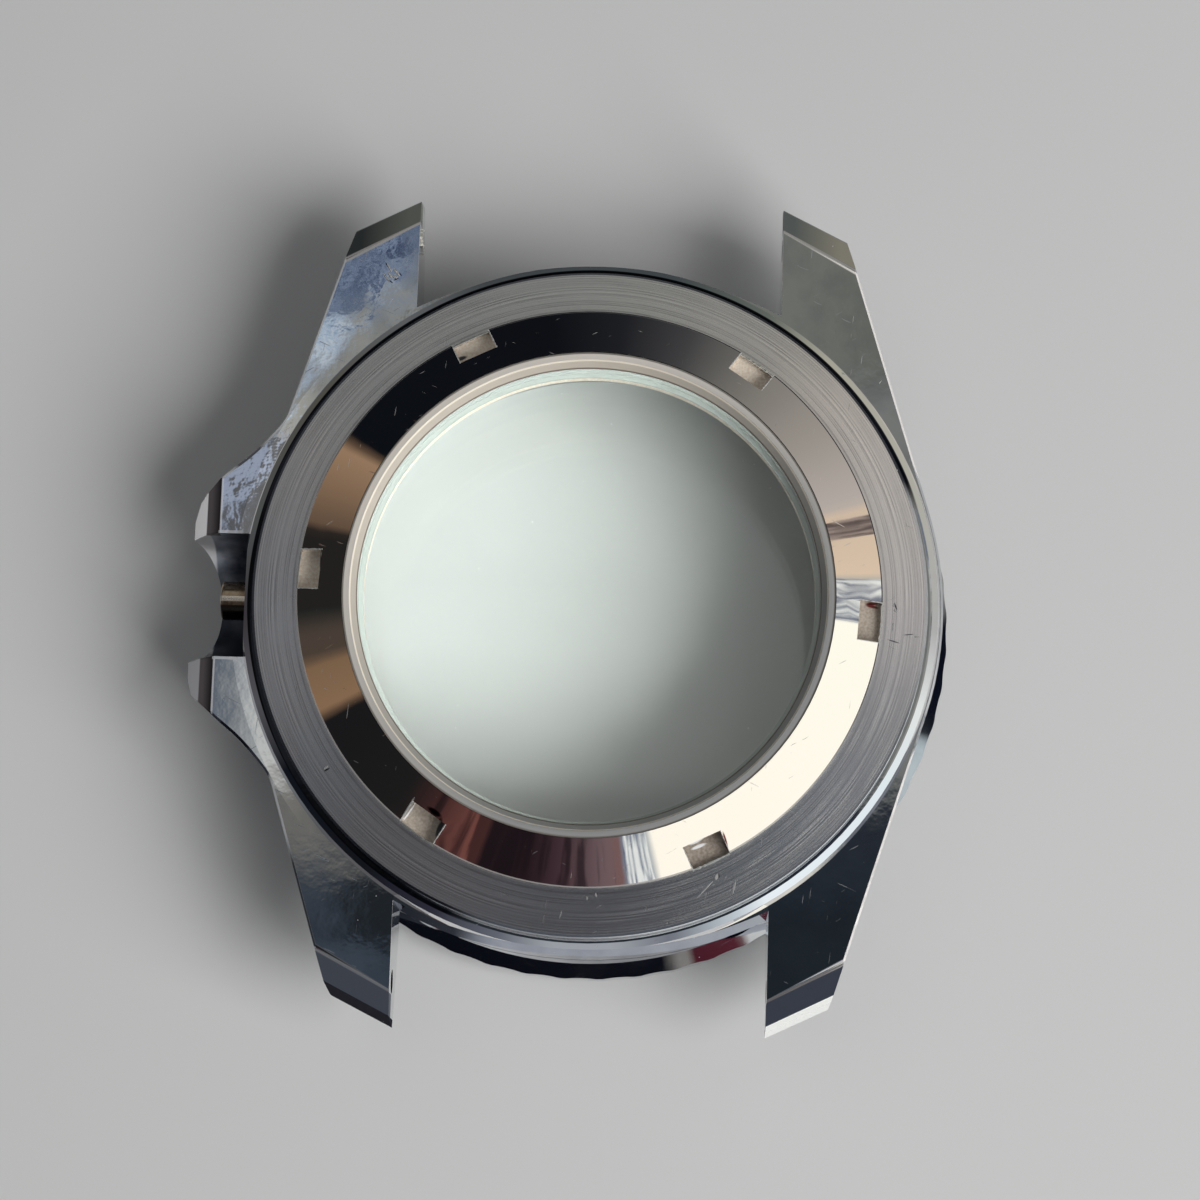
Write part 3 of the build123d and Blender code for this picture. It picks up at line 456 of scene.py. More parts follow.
# each line is a clean circle, and only its strength changes as it goes round
drifted = vector(lines, "SCALE", spot["Around"], Scale=given["Drift"])
along = vector(lines, "ADD", vector(lines, "SCALE", cross, Scale=0.16), drifted)
strength = between(lines, noise(lines, along, 1.0, 3.0), 0.35, 0.65, 0.45, 1.45)
fill(lines, out["Height"], calc(lines, "MULTIPLY", calc(lines, "SUBTRACT", grain, 0.5), strength))
print("group", lines.name)

# %% Scratches, dust and smudges
scratches, given, out = effect("fine_scratches", {"Length": 4.0, "Amount": 0.3}, ("Mask",))
at = on_object(scratches)
long = calc(scratches, "DIVIDE", 1000.0, given["Length"])
stretch = add_node(scratches, "ShaderNodeCombineXYZ", inputs={"X": long, "Y": 9000.0, "Z": long}).outputs[0]
edge = calc(scratches, "MULTIPLY_ADD", given["Amount"], -0.12, 0.78)
found = []
for k, lean in enumerate((0.4, 1.7, 2.6)):
    drawn = vector(scratches, "MULTIPLY_ADD", turned_by(scratches, at, lean), stretch, (k * 7.0, 3.0, k))
    over = calc(scratches, "SUBTRACT", noise(scratches, drawn, 1.0, 1.0), edge)
    found.append(calc(scratches, "MULTIPLY", over, 18.0, clamp=True))
fill(scratches, out["Mask"], either(scratches, *found))

dust, given, out = effect("dust_specks", {"Size": 0.03, "Amount": 0.3}, ("Mask",))
cell = add_node(dust, "ShaderNodeTexVoronoi", inputs={"Vector": on_object(dust), "Scale": 2200.0}).outputs
chance = add_node(dust, "ShaderNodeSeparateXYZ", inputs={"Vector": cell["Color"]}).outputs
kept = calc(dust, "LESS_THAN", chance["X"], given["Amount"])
grown = overlap(dust, given["Size"], 2.2, calc(dust, "MULTIPLY_ADD", chance["Y"], 0.8, 0.5))
fill(dust, out["Mask"], overlap(dust, kept, calc(dust, "LESS_THAN", cell["Distance"], grown)))

smudges, given, out = effect("smudges", {"Patches per mm": 0.3}, ("Mask", "Height"))
per_metre = calc(smudges, "MULTIPLY", given["Patches per mm"], 1000.0)
cloud = noise(smudges, on_object(smudges), per_metre, 4.0)
fill(smudges, out["Mask"], between(smudges, cloud, 0.42, 0.66))
fill(smudges, out["Height"], cloud)
print("groups", scratches.name, dust.name, smudges.name)


# %% [markdown]
# ## Finishes
#
# Each material starts from a Principled shader. Numbers that are the same all over are set on the shader
# itself, and only what changes over the surface comes through nodes. Faces and edges are found by limits
# in mm, so that a tone or a roughness can be laid on each. On the steel, the tube and the ring round the
# back glass, many of these tones are painted reflections, highlights and shade.


# %% Material builder
def finish(name, **settings):
    """A new material and its Principled shader, with these plain settings (underscores for spaces)."""
    made = bpy.data.materials.new(name)
    made.use_nodes = True
    look = made.node_tree.nodes["Principled BSDF"]
    for label, value in settings.items():
        look.inputs[label.replace("_", " ")].default_value = value
    return made, made.node_tree, look


def feed(look, **values):
    """Joins node outputs to inputs of the shader, with underscores for spaces in input names."""
    for label, value in values.items():
        look.id_data.links.new(value, look.inputs[label.replace("_", " ")])


def relief(look, height, depth):
    """Raises the surface by this height socket, depth in metres for a height of 1."""
    inputs = {"Height": height, "Distance": depth, "Strength": 1.0}
    feed(look, Normal=add_node(look.id_data, "ShaderNodeBump", inputs=inputs).outputs["Normal"])


def wear(material, *names):
    """Puts a material on CAD nodes."""
    for name in names:
        for slot in nodes[name].material_slots:
            slot.material = material
    print(material.name, "on", ", ".join(names))


# %% Single marks
def strokes(tree, spot, marks):
    """Mask of short straight marks, each given in mm as (from x, from y, to x, to y, width).

    A point is in a mark where its place along the mark, over half the length, and its place across, over
    half the width, together make a length under 1.
    """
    here = add_node(tree, "ShaderNodeCombineXYZ", inputs={"X": spot["Right"], "Y": spot["Up"]}).outputs[0]
    found = []
    for x0, y0, x1, y1, width in marks:
        middle = ((x0 + x1) / 2, (y0 + y1) / 2, 0)
        half = math.hypot(x1 - x0, y1 - y0) / 2 + width / 2
        turned = turned_by(tree, vector(tree, "SUBTRACT", here, middle), -math.atan2(y1 - y0, x1 - x0))
        fitted = vector(tree, "MULTIPLY", turned, (1 / half, 2 / width, 0))
        found.append(between(tree, vector(tree, "LENGTH", fitted), 1.0, 0.6))
    return either(tree, *found)


def facing(tree, spot, way, low, high):
    """How far a place lies to this side of the case: the cosine to the way, low giving 0 and high 1."""
    return between(tree, vector(tree, "DOT_PRODUCT", spot["Around"], (*way, 0.0)), low, high)


print("marks are drawn one by one")

# %% Polished steel of the mid-case: where each face, edge and mark is
steel, tree, look = finish("polished_case_steel", Metallic=1.0, Specular_IOR_Level=0.0)
spot = use(tree, place)
smudge = use(tree, smudges, Patches_per_mm=0.45)
hairs = use(tree, scratches, Length=1.6, Amount=0.05)
specks = use(tree, dust, Size=0.035, Amount=0.06)
turned = use(tree, lines, Lines_per_mm=5.0, Drift=1.0)
gouges = strokes(tree, spot, [
    (-11.74, 18.75, -11.49, 18.31, 0.09), (-11.33, 18.44, -11.06, 18.09, 0.13), (-11.62, 18.21, -11.46, 17.95, 0.12),
    (-11.36, 18.05, -11.20, 17.95, 0.16), (-11.91, 18.16, -11.55, 17.73, 0.09), (15.40, 12.67, 15.50, 12.83, 0.07),
    (13.35, 13.03, 13.46, 12.96, 0.09),
])
gouge_shade = strokes(tree, spot, [
    (-11.81, 18.80, -11.67, 18.55, 0.09), (-11.60, 17.81, -11.38, 17.65, 0.09), (-11.33, 17.80, -11.06, 17.94, 0.09),
    (-11.04, 18.25, -10.90, 18.06, 0.07),
])
radius, height, across, along, right = (spot[name] for name in ("Radius", "Height", "Across", "Along", "Right"))
right_side = between(tree, right, -0.1, 0.1)
twelve_side = between(tree, spot["Up"], -0.1, 0.1)
six_side = opposite(tree, twelve_side)
past_gap = calc(tree, "SUBTRACT", across, 10.0)
facet_line = add_up(tree, along, (past_gap, 0.52))
end_line = add_up(tree, along, (past_gap, 0.5))
inside = between(tree, radius, 16.75, 16.7)
facet = zone(tree, (facet_line, 21.17, 21.21), (height, 7.0, 7.1))
border = zone(tree, (facet_line, 21.03, 21.05), (height, 8.6, 8.64))
end_face = between(tree, end_line, 22.4, 22.43)
# Painted reflection on the end faces of the six o'clock lugs: near black on the left one, near white on the right
# one.
painted_dark_end = overlap(tree, end_face, opposite(tree, right_side), six_side)
painted_bright_end = overlap(tree, end_face, right_side, six_side)
slot = zone(tree, (along, 3.5, 3.46), (right, -17.8, -17.9), (height, 8.66, 8.62))
milled = either(tree, facet, border, slot, painted_dark_end)
edge_break = zone(tree, (height, 8.56, 8.58), (height, 8.698, 8.69), (facet_line, 21.0, 20.98), (radius, 19.1, 19.15))
inner_edge = between(tree, across, 10.35, 10.3)
right_facing = calc(tree, "ABSOLUTE", calc(tree, "SUBTRACT", inner_edge, right_side))
left_facing = opposite(tree, either(tree, inner_edge, right_side, twelve_side))
# Painted dark reflection along the outer left edge break of the six o'clock lug; painted highlight along the edge
# breaks that face right and along the crown guard rims.
painted_dark_edge = overlap(tree, left_facing, edge_break, between(tree, along, 13.0, 14.5))
slot_rim = zone(tree, (along, 3.56, 3.55), (right, -18.9, -18.95))
nose_rim = zone(tree, (right, -20.1, -20.14), (right, -20.22, -20.2))
guard_rim = overlap(tree, either(tree, slot_rim, nose_rim), zone(tree, (height, 8.6, 8.64), (along, 9.5, 9.0)))
painted_highlight_edge = either(tree, overlap(tree, edge_break, right_facing), guard_rim)
# The collar, the hem and the flank on the six o'clock side get a brighter steel tone below: a painted brighter
# reflection.
collar = zone(tree, (height, 8.74, 8.78), (radius, 18.3, 18.32))
hem = zone(tree, (radius, 19.5, 19.46), (right, -15.0, -16.5))
low_flank = overlap(tree, facing(tree, spot, (0.0, -1.0), 0.5, 0.6), between(tree, across, 9.97, 9.94))
nose = zone(tree, (right, -20.75, -20.85), (along, 9.0, 8.6))
nose_bevel = zone(tree, (along, 9.0, 8.6), (across, 20.2, 20.24), (height, 7.85, 7.9))
shaded_side = facing(tree, spot, (-0.707, 0.707), -0.46, -0.38)
shaded_groove = overlap(tree, zone(tree, (radius, 18.46, 18.43), (height, 8.9, 8.95)), shaded_side)
crown_side = facing(tree, spot, (-0.94, -0.34), 0.72, 0.84)
print("mid-case: faces, edges and marks found")


# %% Polished steel of the mid-case: roughness, colour with painted reflections, highlights and shade, and relief
def on_lugs(twelve_left, twelve_right, six_left, six_right):
    """One of four painted reflection tones, by the lug that a place is on."""
    six = blend(tree, right_side, six_left, six_right)
    return blend(tree, twelve_side, six, blend(tree, right_side, twelve_left, twelve_right))


# Painted reflections on the lug facets: the twelve o'clock facets shade from one tone to another across the lug.
left_facet = shade(tree, across, 10.6, 13.2, (118, 122, 114), (62, 66, 66))
right_facet = shade(tree, across, 10.6, 13.2, (104, 110, 108), (156, 152, 138))
# Painted shade in the crown slot: the six o'clock wall darker than the twelve o'clock wall, both lighter where the
# smudges lie.
upper_slot = blend(tree, smudge["Mask"], (84, 90, 104), (176, 180, 190))
lower_slot = blend(tree, smudge["Mask"], (54, 58, 68), (84, 88, 98))
tone = cover(
    tree,
    blend(tree, smudge["Mask"], (214, 216, 219), (196, 199, 204)),
    # Painted brighter reflection on the collar, hem and six o'clock flank.
    (either(tree, collar, hem, low_flank), (247, 247, 248)),
    # Painted reflections: each lug's border, facet and end face get a tone of their own.
    (border, on_lugs((172, 168, 166), (166, 164, 160), (122, 125, 130), (112, 108, 108))),
    (facet, on_lugs(left_facet, right_facet, (82, 87, 98), (58, 63, 74))),
    (end_face, on_lugs((150, 152, 150), (150, 152, 150), (32, 32, 42), (252, 253, 249))),
    (slot, blend(tree, twelve_side, lower_slot, upper_slot)),
    # Painted reflection on the guard nose, lighter on the twelve o'clock side, and a painted dark reflection on its
    # bevel.
    (nose, blend(tree, twelve_side, (166, 166, 170), (254, 253, 255))),
    (nose_bevel, shade(tree, across, 20.3, 20.8, (40, 36, 39), (98, 92, 94))),
    (shaded_groove, blend(tree, crown_side, (74, 77, 86), (36, 38, 44))),
    # Painted dark line and painted highlights on the edge breaks.
    (painted_dark_edge, (66, 69, 76)),
    (painted_highlight_edge, blend(tree, guard_rim, (250, 246, 243), (206, 207, 210))),
    (gouge_shade, (66, 68, 88)),
    (either(tree, gouges, specks["Mask"]), (246, 247, 246)),
)
rough = add_up(tree, 0.02, (smudge["Mask"], 0.02), (milled, 0.3), (hairs["Mask"], 0.1), (inside, 0.22))
rough = add_up(tree, rough, (gouges, 0.6), (specks["Mask"], 0.5))
plain = either(
    tree,
    overlap(tree, either(tree, facet, border, painted_bright_end), 0.65),
    overlap(tree, painted_dark_end, 0.92),
    overlap(tree, painted_highlight_edge, 0.5),
)
inner_lines = overlap(tree, turned["Height"], inside)
wavy = add_up(tree, 0.0, (smudge["Height"], 0.4), (inner_lines, 0.35), (hairs["Mask"], -0.12), (gouges, 1.5))
feed(look, Base_Color=tone, Roughness=rough, Metallic=opposite(tree, plain))
relief(look, wavy, 0.012 * mm)
wear(steel, "mid_case")

# %% Case back: brushed ring, polished cone, gritty notch floors, and painted light and shade on rim, lip, outer wall and floors
back, tree, look = finish("case_back_steel", Metallic=1.0)
spot = use(tree, place)
smudge = use(tree, smudges, Patches_per_mm=0.5)
hairs = use(tree, scratches, Length=1.4, Amount=0.05)
specks = use(tree, dust, Size=0.03, Amount=0.06)
brushed = use(tree, lines, Lines_per_mm=10.0, Drift=5.0)
scores = strokes(tree, spot, [
    (16.22, 0.12, 16.26, -0.01, 0.07), (16.32, -0.23, 16.44, -0.32, 0.09), (16.23, -1.33, 16.26, -0.93, 0.07),
    (17.46, -1.58, 17.67, -1.61, 0.08), (7.14, -14.87, 7.21, -14.69, 0.17), (6.99, -15.01, 6.21, -15.87, 0.07),
    (8.20, -14.94, 8.04, -15.62, 0.09), (8.72, -14.31, 10.25, -13.26, 0.04), (-13.82, -9.61, -13.61, -9.47, 0.12),
    (0.83, -15.86, 0.87, -15.99, 0.10), (0.37, -16.05, 0.38, -16.16, 0.09), (-1.04, -17.18, -0.94, -16.81, 0.05),
    (-8.85, -11.21, -9.50, -12.27, 0.14), (5.84, -13.32, 6.54, -13.01, 0.22),
])
score_shade = strokes(tree, spot, [
    (16.31, 0.16, 16.44, -0.21, 0.09), (15.96, -1.84, 16.64, -2.00, 0.07), (16.84, -1.54, 17.39, -1.45, 0.06),
    (7.28, -14.63, 7.32, -14.80, 0.09), (-13.78, -9.72, -13.52, -9.57, 0.10), (-8.05, -11.72, -7.45, -12.12, 0.34),
    (-7.42, -12.28, -7.66, -13.05, 0.38), (-7.58, 12.98, -7.12, 13.15, 0.26), (-14.50, 2.12, -14.43, 0.50, 0.12),
])
warm_marks = strokes(tree, spot, [(14.80, 0.05, 15.45, -0.10, 0.20), (7.44, -12.52, 7.72, -13.32, 0.14)])
radius, height = spot["Radius"], spot["Height"]
brushed_zone = between(tree, radius, 15.64, 15.66)
floor_zone = zone(tree, (height, 10.36, 10.33), (radius, 15.66, 15.64))
grit = noise(tree, on_object(tree), 7000.0, 5.0)
lip = zone(tree, (radius, 15.57, 15.59), (radius, 15.65, 15.64))
# Painted highlight on the outer wall of the back on the near side, brightest towards the right.
near_side = facing(tree, spot, (0.42, -0.907), 0.55, 0.65)
outer_wall = overlap(tree, between(tree, radius, 18.12, 18.14), near_side)
shaded_side = facing(tree, spot, (-0.707, 0.707), -0.46, -0.38)
low_side = facing(tree, spot, (-0.1, -0.995), 0.0, 0.25)
# Painted dark reflection on the rim of the back: darkest on the shaded side, darker than the ring on the low side.
painted_dark_rim = overlap(tree, between(tree, radius, 17.98, 18.02), either(tree, shaded_side, low_side))
# Painted light and shade on the lip between cone and ring: light towards the lower left, dark elsewhere.
painted_lit_lip_side = facing(tree, spot, (-0.5, -0.866), -0.2, 0.3)
# Painted light on the notch floors: lighter towards the upper left, darker towards the lower right.
painted_light_side = facing(tree, spot, (-0.5, 0.866), -0.9, 0.9)
brushed_tone = shade(tree, brushed["Height"], -0.2, 0.2, (158, 159, 163), (232, 233, 236))
light_grit = blend(tree, painted_light_side, (176, 164, 152), (255, 246, 230))
dark_grit = blend(tree, painted_light_side, (146, 134, 122), (238, 219, 198))
tone = cover(
    tree,
    blend(tree, brushed_zone, (255, 254, 252), brushed_tone),
    (painted_dark_rim, blend(tree, shaded_side, (114, 116, 122), (66, 68, 76))),
    (lip, blend(tree, painted_lit_lip_side, (50, 48, 50), (176, 172, 168))),
    (outer_wall, shade(tree, spot["Right"], -0.5, 3.5, (176, 180, 186), (246, 250, 252))),
    (floor_zone, shade(tree, grit, 0.36, 0.64, dark_grit, light_grit)),
    (score_shade, (58, 58, 64)),
    (warm_marks, (112, 52, 50)),
    (either(tree, scores, specks["Mask"]), (246, 246, 246)),
)
rough = add_up(
    tree, 0.02, (smudge["Mask"], 0.02), (brushed_zone, 0.2), (floor_zone, 0.4), (hairs["Mask"], 0.1), (scores, 0.5)
)
plain = either(tree, overlap(tree, floor_zone, 0.9), overlap(tree, either(tree, lip, outer_wall), 0.65))
ring_lines = overlap(tree, brushed["Height"], brushed_zone)
floor_grit = overlap(tree, grit, floor_zone)
raised = add_up(tree, 0.0, (ring_lines, 0.5), (hairs["Mask"], -0.1), (floor_grit, 0.5), (scores, 0.8))
feed(look, Base_Color=tone, Roughness=rough, Metallic=opposite(tree, plain))
relief(look, raised, 0.02 * mm)
wear(back, "case_back")

# %% Bezel, click parts, tube and chapter ring
bezel, tree, look = finish("bezel_steel", Metallic=1.0)
smudge = use(tree, smudges, Patches_per_mm=0.6)
hairs = use(tree, scratches, Length=3.0, Amount=0.3)["Mask"]
specks = use(tree, dust, Size=0.04, Amount=0.16)["Mask"]
tone = blend(tree, smudge["Mask"], (208, 210, 214), (196, 198, 203))
feed(
    look,
    Base_Color=blend(tree, specks, tone, (244, 244, 246)),
    Roughness=add_up(tree, 0.03, (smudge["Mask"], 0.02), (specks, 0.5), (hairs, 0.1)),
    Metallic=add_up(tree, 1.0, (specks, -0.6)),
)
relief(look, smudge["Height"], 0.002 * mm)
wear(bezel, "bezel_ring", "pip_cup")

spring, tree, look = finish("drawn_spring_steel", Metallic=1.0)
smudge = use(tree, smudges, Patches_per_mm=2.0)
feed(
    look,
    Base_Color=blend(tree, smudge["Mask"], (176, 176, 178), (150, 150, 153)),
    Roughness=between(tree, smudge["Height"], 0.3, 0.7, 0.22, 0.38),
)
wear(spring, "click_ring", "snap_wire", "click_plunger", "click_coil")

tube, tree, look = finish("brown_tube_steel", Metallic=1.0)
spot = use(tree, place)
smudge = use(tree, smudges, Patches_per_mm=1.5)
# Painted highlight along the top line of the tube and painted shade along its six o'clock side; lighter at its outer
# end.
tone = cover(
    tree,
    blend(tree, smudge["Mask"], (176, 158, 138), (112, 94, 78)),
    (close_to(tree, spot["Up"], -0.05, 0.14), (246, 232, 214)),
    (between(tree, spot["Up"], -0.38, -0.42), (58, 52, 48)),
    (between(tree, spot["Right"], -20.35, -20.4), (226, 206, 182)),
)
feed(look, Base_Color=tone, Roughness=between(tree, smudge["Height"], 0.3, 0.7, 0.16, 0.36))
wear(tube, "crown_tube")


def turned_finish(made, tree, look, per_mm, drift, spread, dark, light, depth, roughness=None):
    """Fine turned lines from dark to light, with their relief and, where it is given, two roughnesses."""
    height = use(tree, lines, Lines_per_mm=per_mm, Drift=drift)["Height"]
    feed(look, Base_Color=shade(tree, height, -spread, spread, dark, light))
    if roughness:
        feed(look, Roughness=between(tree, height, -spread, spread, *roughness))
    relief(look, height, depth)
    return made


satin = finish("satin_ring_steel", Metallic=1.0)
wear(turned_finish(*satin, 8.0, 1.0, 0.2, (150, 152, 154), (178, 180, 182), 0.01 * mm, (0.25, 0.42)), "chapter_ring")

# %% Nylon rings, rubber, insert and pip
nylon = finish("white_nylon", Roughness=0.42)
wear(turned_finish(*nylon, 4.0, 0.6, 0.25, (206, 206, 202), (228, 228, 224), 0.01 * mm), "crystal_gasket")
rubber = finish("black_rubber", Roughness=0.55)
wear(turned_finish(*rubber, 3.0, 0.6, 0.25, (18, 18, 19), (34, 34, 35), 0.01 * mm), "bezel_gasket", "back_seal")
film = finish("adhesive_film", Roughness=0.6)
wear(turned_finish(*film, 2.0, 0.6, 0.25, (196, 190, 172), (214, 208, 190), 0.004 * mm), "insert_adhesive")
anodised = finish("black_anodised_insert", Metallic=0.6)
wear(turned_finish(*anodised, 9.0, 0.8, 0.25, (22, 22, 25), (34, 34, 38), 0.006 * mm, (0.3, 0.42)), "bezel_insert")

lume, tree, look = finish("lacquered_pip", Roughness=0.25, Coat_Weight=0.6)
feed(look, Base_Color=blend(tree, noise(tree, on_object(tree), 9000.0, 3.0), (214, 222, 196), (240, 246, 226)))
wear(lume, "bezel_pip")

# %% Ring round the back glass
pressed, tree, look = finish("banded_nylon", Roughness=0.32)
spot = use(tree, place)
radius = spot["Radius"]
turned = use(tree, lines, Lines_per_mm=6.0, Drift=0.5)["Height"]
lit_side = facing(tree, spot, (-0.6, 0.8), -0.6, 0.8)
dim_flat, lit_flat, dim_bevel, lit_bevel = (
    shade(tree, turned, -0.25, 0.25, *pair)
    for pair in (
        ((126, 127, 127), (158, 158, 156)),
        ((192, 186, 178), (218, 211, 202)),
        ((128, 129, 127), (166, 166, 162)),
        ((176, 167, 154), (196, 187, 174)),
    )
)
flat_band, bevel_band = blend(tree, lit_side, dim_flat, lit_flat), blend(tree, lit_side, dim_bevel, lit_bevel)
wall_tone = shade(tree, spot["Height"], 11.56, 11.58, (168, 175, 170), (112, 98, 88))
tone = cover(
    tree,
    shade(tree, radius, 12.66, 12.7, bevel_band, flat_band),
    # Painted highlight along the break between bevel and flat.
    (close_to(tree, radius, 12.7, 0.035), (226, 217, 200)),
    (between(tree, radius, 13.03, 13.05), (120, 116, 110)),
    (between(tree, radius, 12.42, 12.38), wall_tone),
)
feed(look, Base_Color=tone)
relief(look, turned, 0.015 * mm)
wear(pressed, "back_glass_gasket")


# %% Clear glass
def clear_glass(name, scratch_amount):
    """Mineral glass. Rays towards the lamps pass straight through, so that what lies under it is lit."""
    tint = paint(252, 254, 253)
    made, tree, look = finish(name, Base_Color=tint, IOR=1.5, Transmission_Weight=1.0, Metallic=0.0)
    hairs = use(tree, scratches, Length=6.0, Amount=scratch_amount)["Mask"]
    specks = use(tree, dust, Size=0.03, Amount=0.03)["Mask"]
    feed(look, Roughness=either(tree, overlap(tree, hairs, 0.12), overlap(tree, specks, 0.5)))
    clear = add_node(tree, "ShaderNodeBsdfTransparent", inputs={"Color": tint}).outputs[0]
    shadow_ray = add_node(tree, "ShaderNodeLightPath").outputs["Is Shadow Ray"]
    mixed = mix_shaders(tree, shadow_ray, look.outputs[0], clear)
    tree.links.new(mixed, tree.nodes["Material Output"].inputs["Surface"])
    return made


wear(clear_glass("back_window_glass", 0.2), "back_glass")
wear(clear_glass("front_crystal_glass", 0.1), "crystal")

# %% [markdown]
# ## Small forms
#
# Some forms are too fine for the CAD model: the wire of the little click spring, the saw teeth under the
# bezel, the thread on the case back, the marks on the bezel and the burrs that a cutter leaves. Each is
# a section carried along a path. The points come from numpy as one array, a ring of points per step.


# %% Builder for a section carried along a path
def swept(name, rings, closed=False, smooth=False):
    """A solid skin through rings of points.

    rings has the shape (bars, steps, points, 3) in mm. Neighbouring rings of a bar are joined by four-sided
    faces. An open bar gets a cap at both ends, and a closed one joins its last ring to its first. The faces
    are turned outwards by the sign of the volume, the sum of corner . (corner x corner) / 6 over its faces.
    """
    bars, steps, points, _ = rings.shape
    step = np.arange(steps if closed else steps - 1)
    point = np.arange(points)
    here, after = step[:, None] * points, (step[:, None] + 1) % steps * points
    quads = np.stack([here + point, here + (point + 1) % points, after + (point + 1) % points, after + point], -1)
    quads = quads.reshape(-1, 4)
    first = rings[0].reshape(-1, 3)
    a, b, c, d = (first[quads[:, k]] for k in range(4))
    volume = (np.einsum("ij,ij->i", a, np.cross(b, c)) + np.einsum("ij,ij->i", a, np.cross(c, d))).sum()
    caps = np.empty((0, points), int) if closed else np.array([point[::-1], point + (steps - 1) * points])
    if volume < 0:
        quads, caps = quads[:, ::-1], caps[:, ::-1]
    jump = np.arange(bars)[:, None, None] * steps * points
    faces = (quads + jump).reshape(-1, 4).tolist() + (caps + jump).reshape(-1, points).tolist()
    made = bpy.data.meshes.new(name)
    made.from_pydata((rings.reshape(-1, 3) * mm).tolist(), [], faces)
    made.polygons.foreach_set("use_smooth", np.full(len(faces), smooth))
    shown = bpy.data.objects.new(name, made)
    scene.collection.objects.link(shown)
    return shown


def settle(piece, material, body):
    """Gives a new piece its material and the body that it rides on."""
    piece.data.materials.append(material)
    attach(piece, body)
    print(piece.name, len(piece.data.polygons), "faces on", body)


def round_section(count):
    """The unit circle as count points (cos, sin)."""
    turn_round = np.arange(count) * 2 * math.pi / count
    return np.stack([np.cos(turn_round), np.sin(turn_round)], -1)


print("piece helpers ready")

# %% [markdown]
# ## Click spring
#
# A coil of drawn wire pushes the click plunger against the bezel's teeth. A helix gives its middle line,
# and its last turns close up at both ends, as on a real spring.

# %% Coil of the click spring
low, high = (np.array(corner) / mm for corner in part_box("click_coil"))
coil_middle, coil_outer = (low + high) / 2, (high[0] - low[0]) / 2
wire, coil_turns, coil_steps = 0.05, 7.0, 260
coil_r = coil_outer - wire
share = np.linspace(0, 1, coil_steps)
climb = np.interp(share, [0, 0.14, 0.86, 1], [0, 0.1, 0.9, 1])
angle = share * coil_turns * 2 * math.pi
outward = np.stack([np.cos(angle), np.sin(angle), 0 * angle], -1)
middle = coil_middle + outward * coil_r
middle[:, 2] = low[2] + wire + climb * (high[2] - low[2] - 2 * wire)
ring = round_section(10) * wire
rings = middle[:, None] + outward[:, None] * ring[None, :, :1] + np.array([0, 0, 1.0]) * ring[None, :, 1:]
coil = swept("click_spring_wire", rings[None], smooth=True)
settle(coil, spring, "case")
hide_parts("click_coil")
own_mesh(coil)

# %% [markdown]
# ## Teeth of the click ring
#
# The plunger clicks over saw teeth in a thin ring under the bezel. Seen along the ring, each tooth climbs
# slowly and drops at once, so the height is a saw wave of the angle. The tips stay in the plain ring's
# face, and only the valleys are cut below it.

# %% Toothed click ring
low, high = (np.array(corner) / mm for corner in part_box("click_ring"))
ring_width, inner_step = 1.1, 0.04
ring_out, ring_in = high[0], high[0] - ring_width + inner_step
tooth_count, tooth_depth = 120, 0.12
step = np.arange(tooth_count * 4)
phase = np.array([0.0, 0.45, 0.9, 0.97])[step % 4]
angle = (step // 4 + phase) * 2 * math.pi / tooth_count
top = high[2] - tooth_depth * np.array([1.0, 0.5, 0.0, 1.0])[step % 4]
corner_r = np.array([ring_in, ring_out, ring_out, ring_in])
corner_z = np.stack([0 * top + low[2], 0 * top + low[2], top, top], -1)
rings = np.stack([corner_r * np.cos(angle)[:, None], corner_r * np.sin(angle)[:, None], corner_z], -1)
teeth = swept("click_ring_teeth", rings[None], closed=True)
settle(teeth, spring, "bezel")
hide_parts("click_ring")

# %% [markdown]
# ## Thread of the case back
#
# The boss of the case back carries a fine thread. Its crest is a low ridge with a narrow flat top. It
# climbs a little less than one pitch each turn and runs out to nothing at both ends.

# %% Thread ridge
boss_r, pitch, crest = 16.55, 0.75, 0.04
thread_start, thread_turns, climb_share, thread_steps, sunk = 8.0, 1.35, 0.82, 361, 0.002
share = np.linspace(0, 1, thread_steps)
angle = share * thread_turns * 2 * math.pi
middle_z = thread_start + angle / (2 * math.pi) * pitch * climb_share
fade = np.clip(np.minimum(share, 1 - share) * 25, 0.02, 1)
section = np.array([[-0.02, -0.2], [1.0, -0.04], [1.0, 0.04], [-0.02, 0.2]])
ridge_r = boss_r + section[None, :, 0] * crest * fade[:, None] - sunk
ridge_z = middle_z[:, None] + section[None, :, 1]
rings = np.stack([ridge_r * np.cos(angle)[:, None], ridge_r * np.sin(angle)[:, None], ridge_z], -1)
settle(swept("back_thread_ridge", rings[None]), back, "back")

# %% [markdown]
# ## Burrs
#
# The milling cutter left a ragged bright lip round each wrench notch, and the drill left one round a
# spring-bar hole. A burr is a low ridge on the edge whose width and height change at random along it.


# %% Ragged ridge
def ragged(paths, outward, sideways, width, height, seed):
    """Rings for ridges along paths, shape (bars, steps, 3), in mm.

    At each step the section has four points: foot, two at the crest, foot. The crest stands outward by
    height x chance, and the feet lie width x chance apart, with chance between 0.25 and 1.
    """
    draw = np.random.default_rng(seed)
    chance = draw.uniform(0.25, 1.0, paths.shape[:2])[..., None, None]
    side = np.array([-0.5, -0.12, 0.12, 0.5])[:, None] * width * chance
    rise = np.array([-0.15, 1.0, 0.9, -0.15])[:, None] * height * chance
    return paths[..., None, :] + sideways[..., None, :] * side + outward[..., None, :] * rise


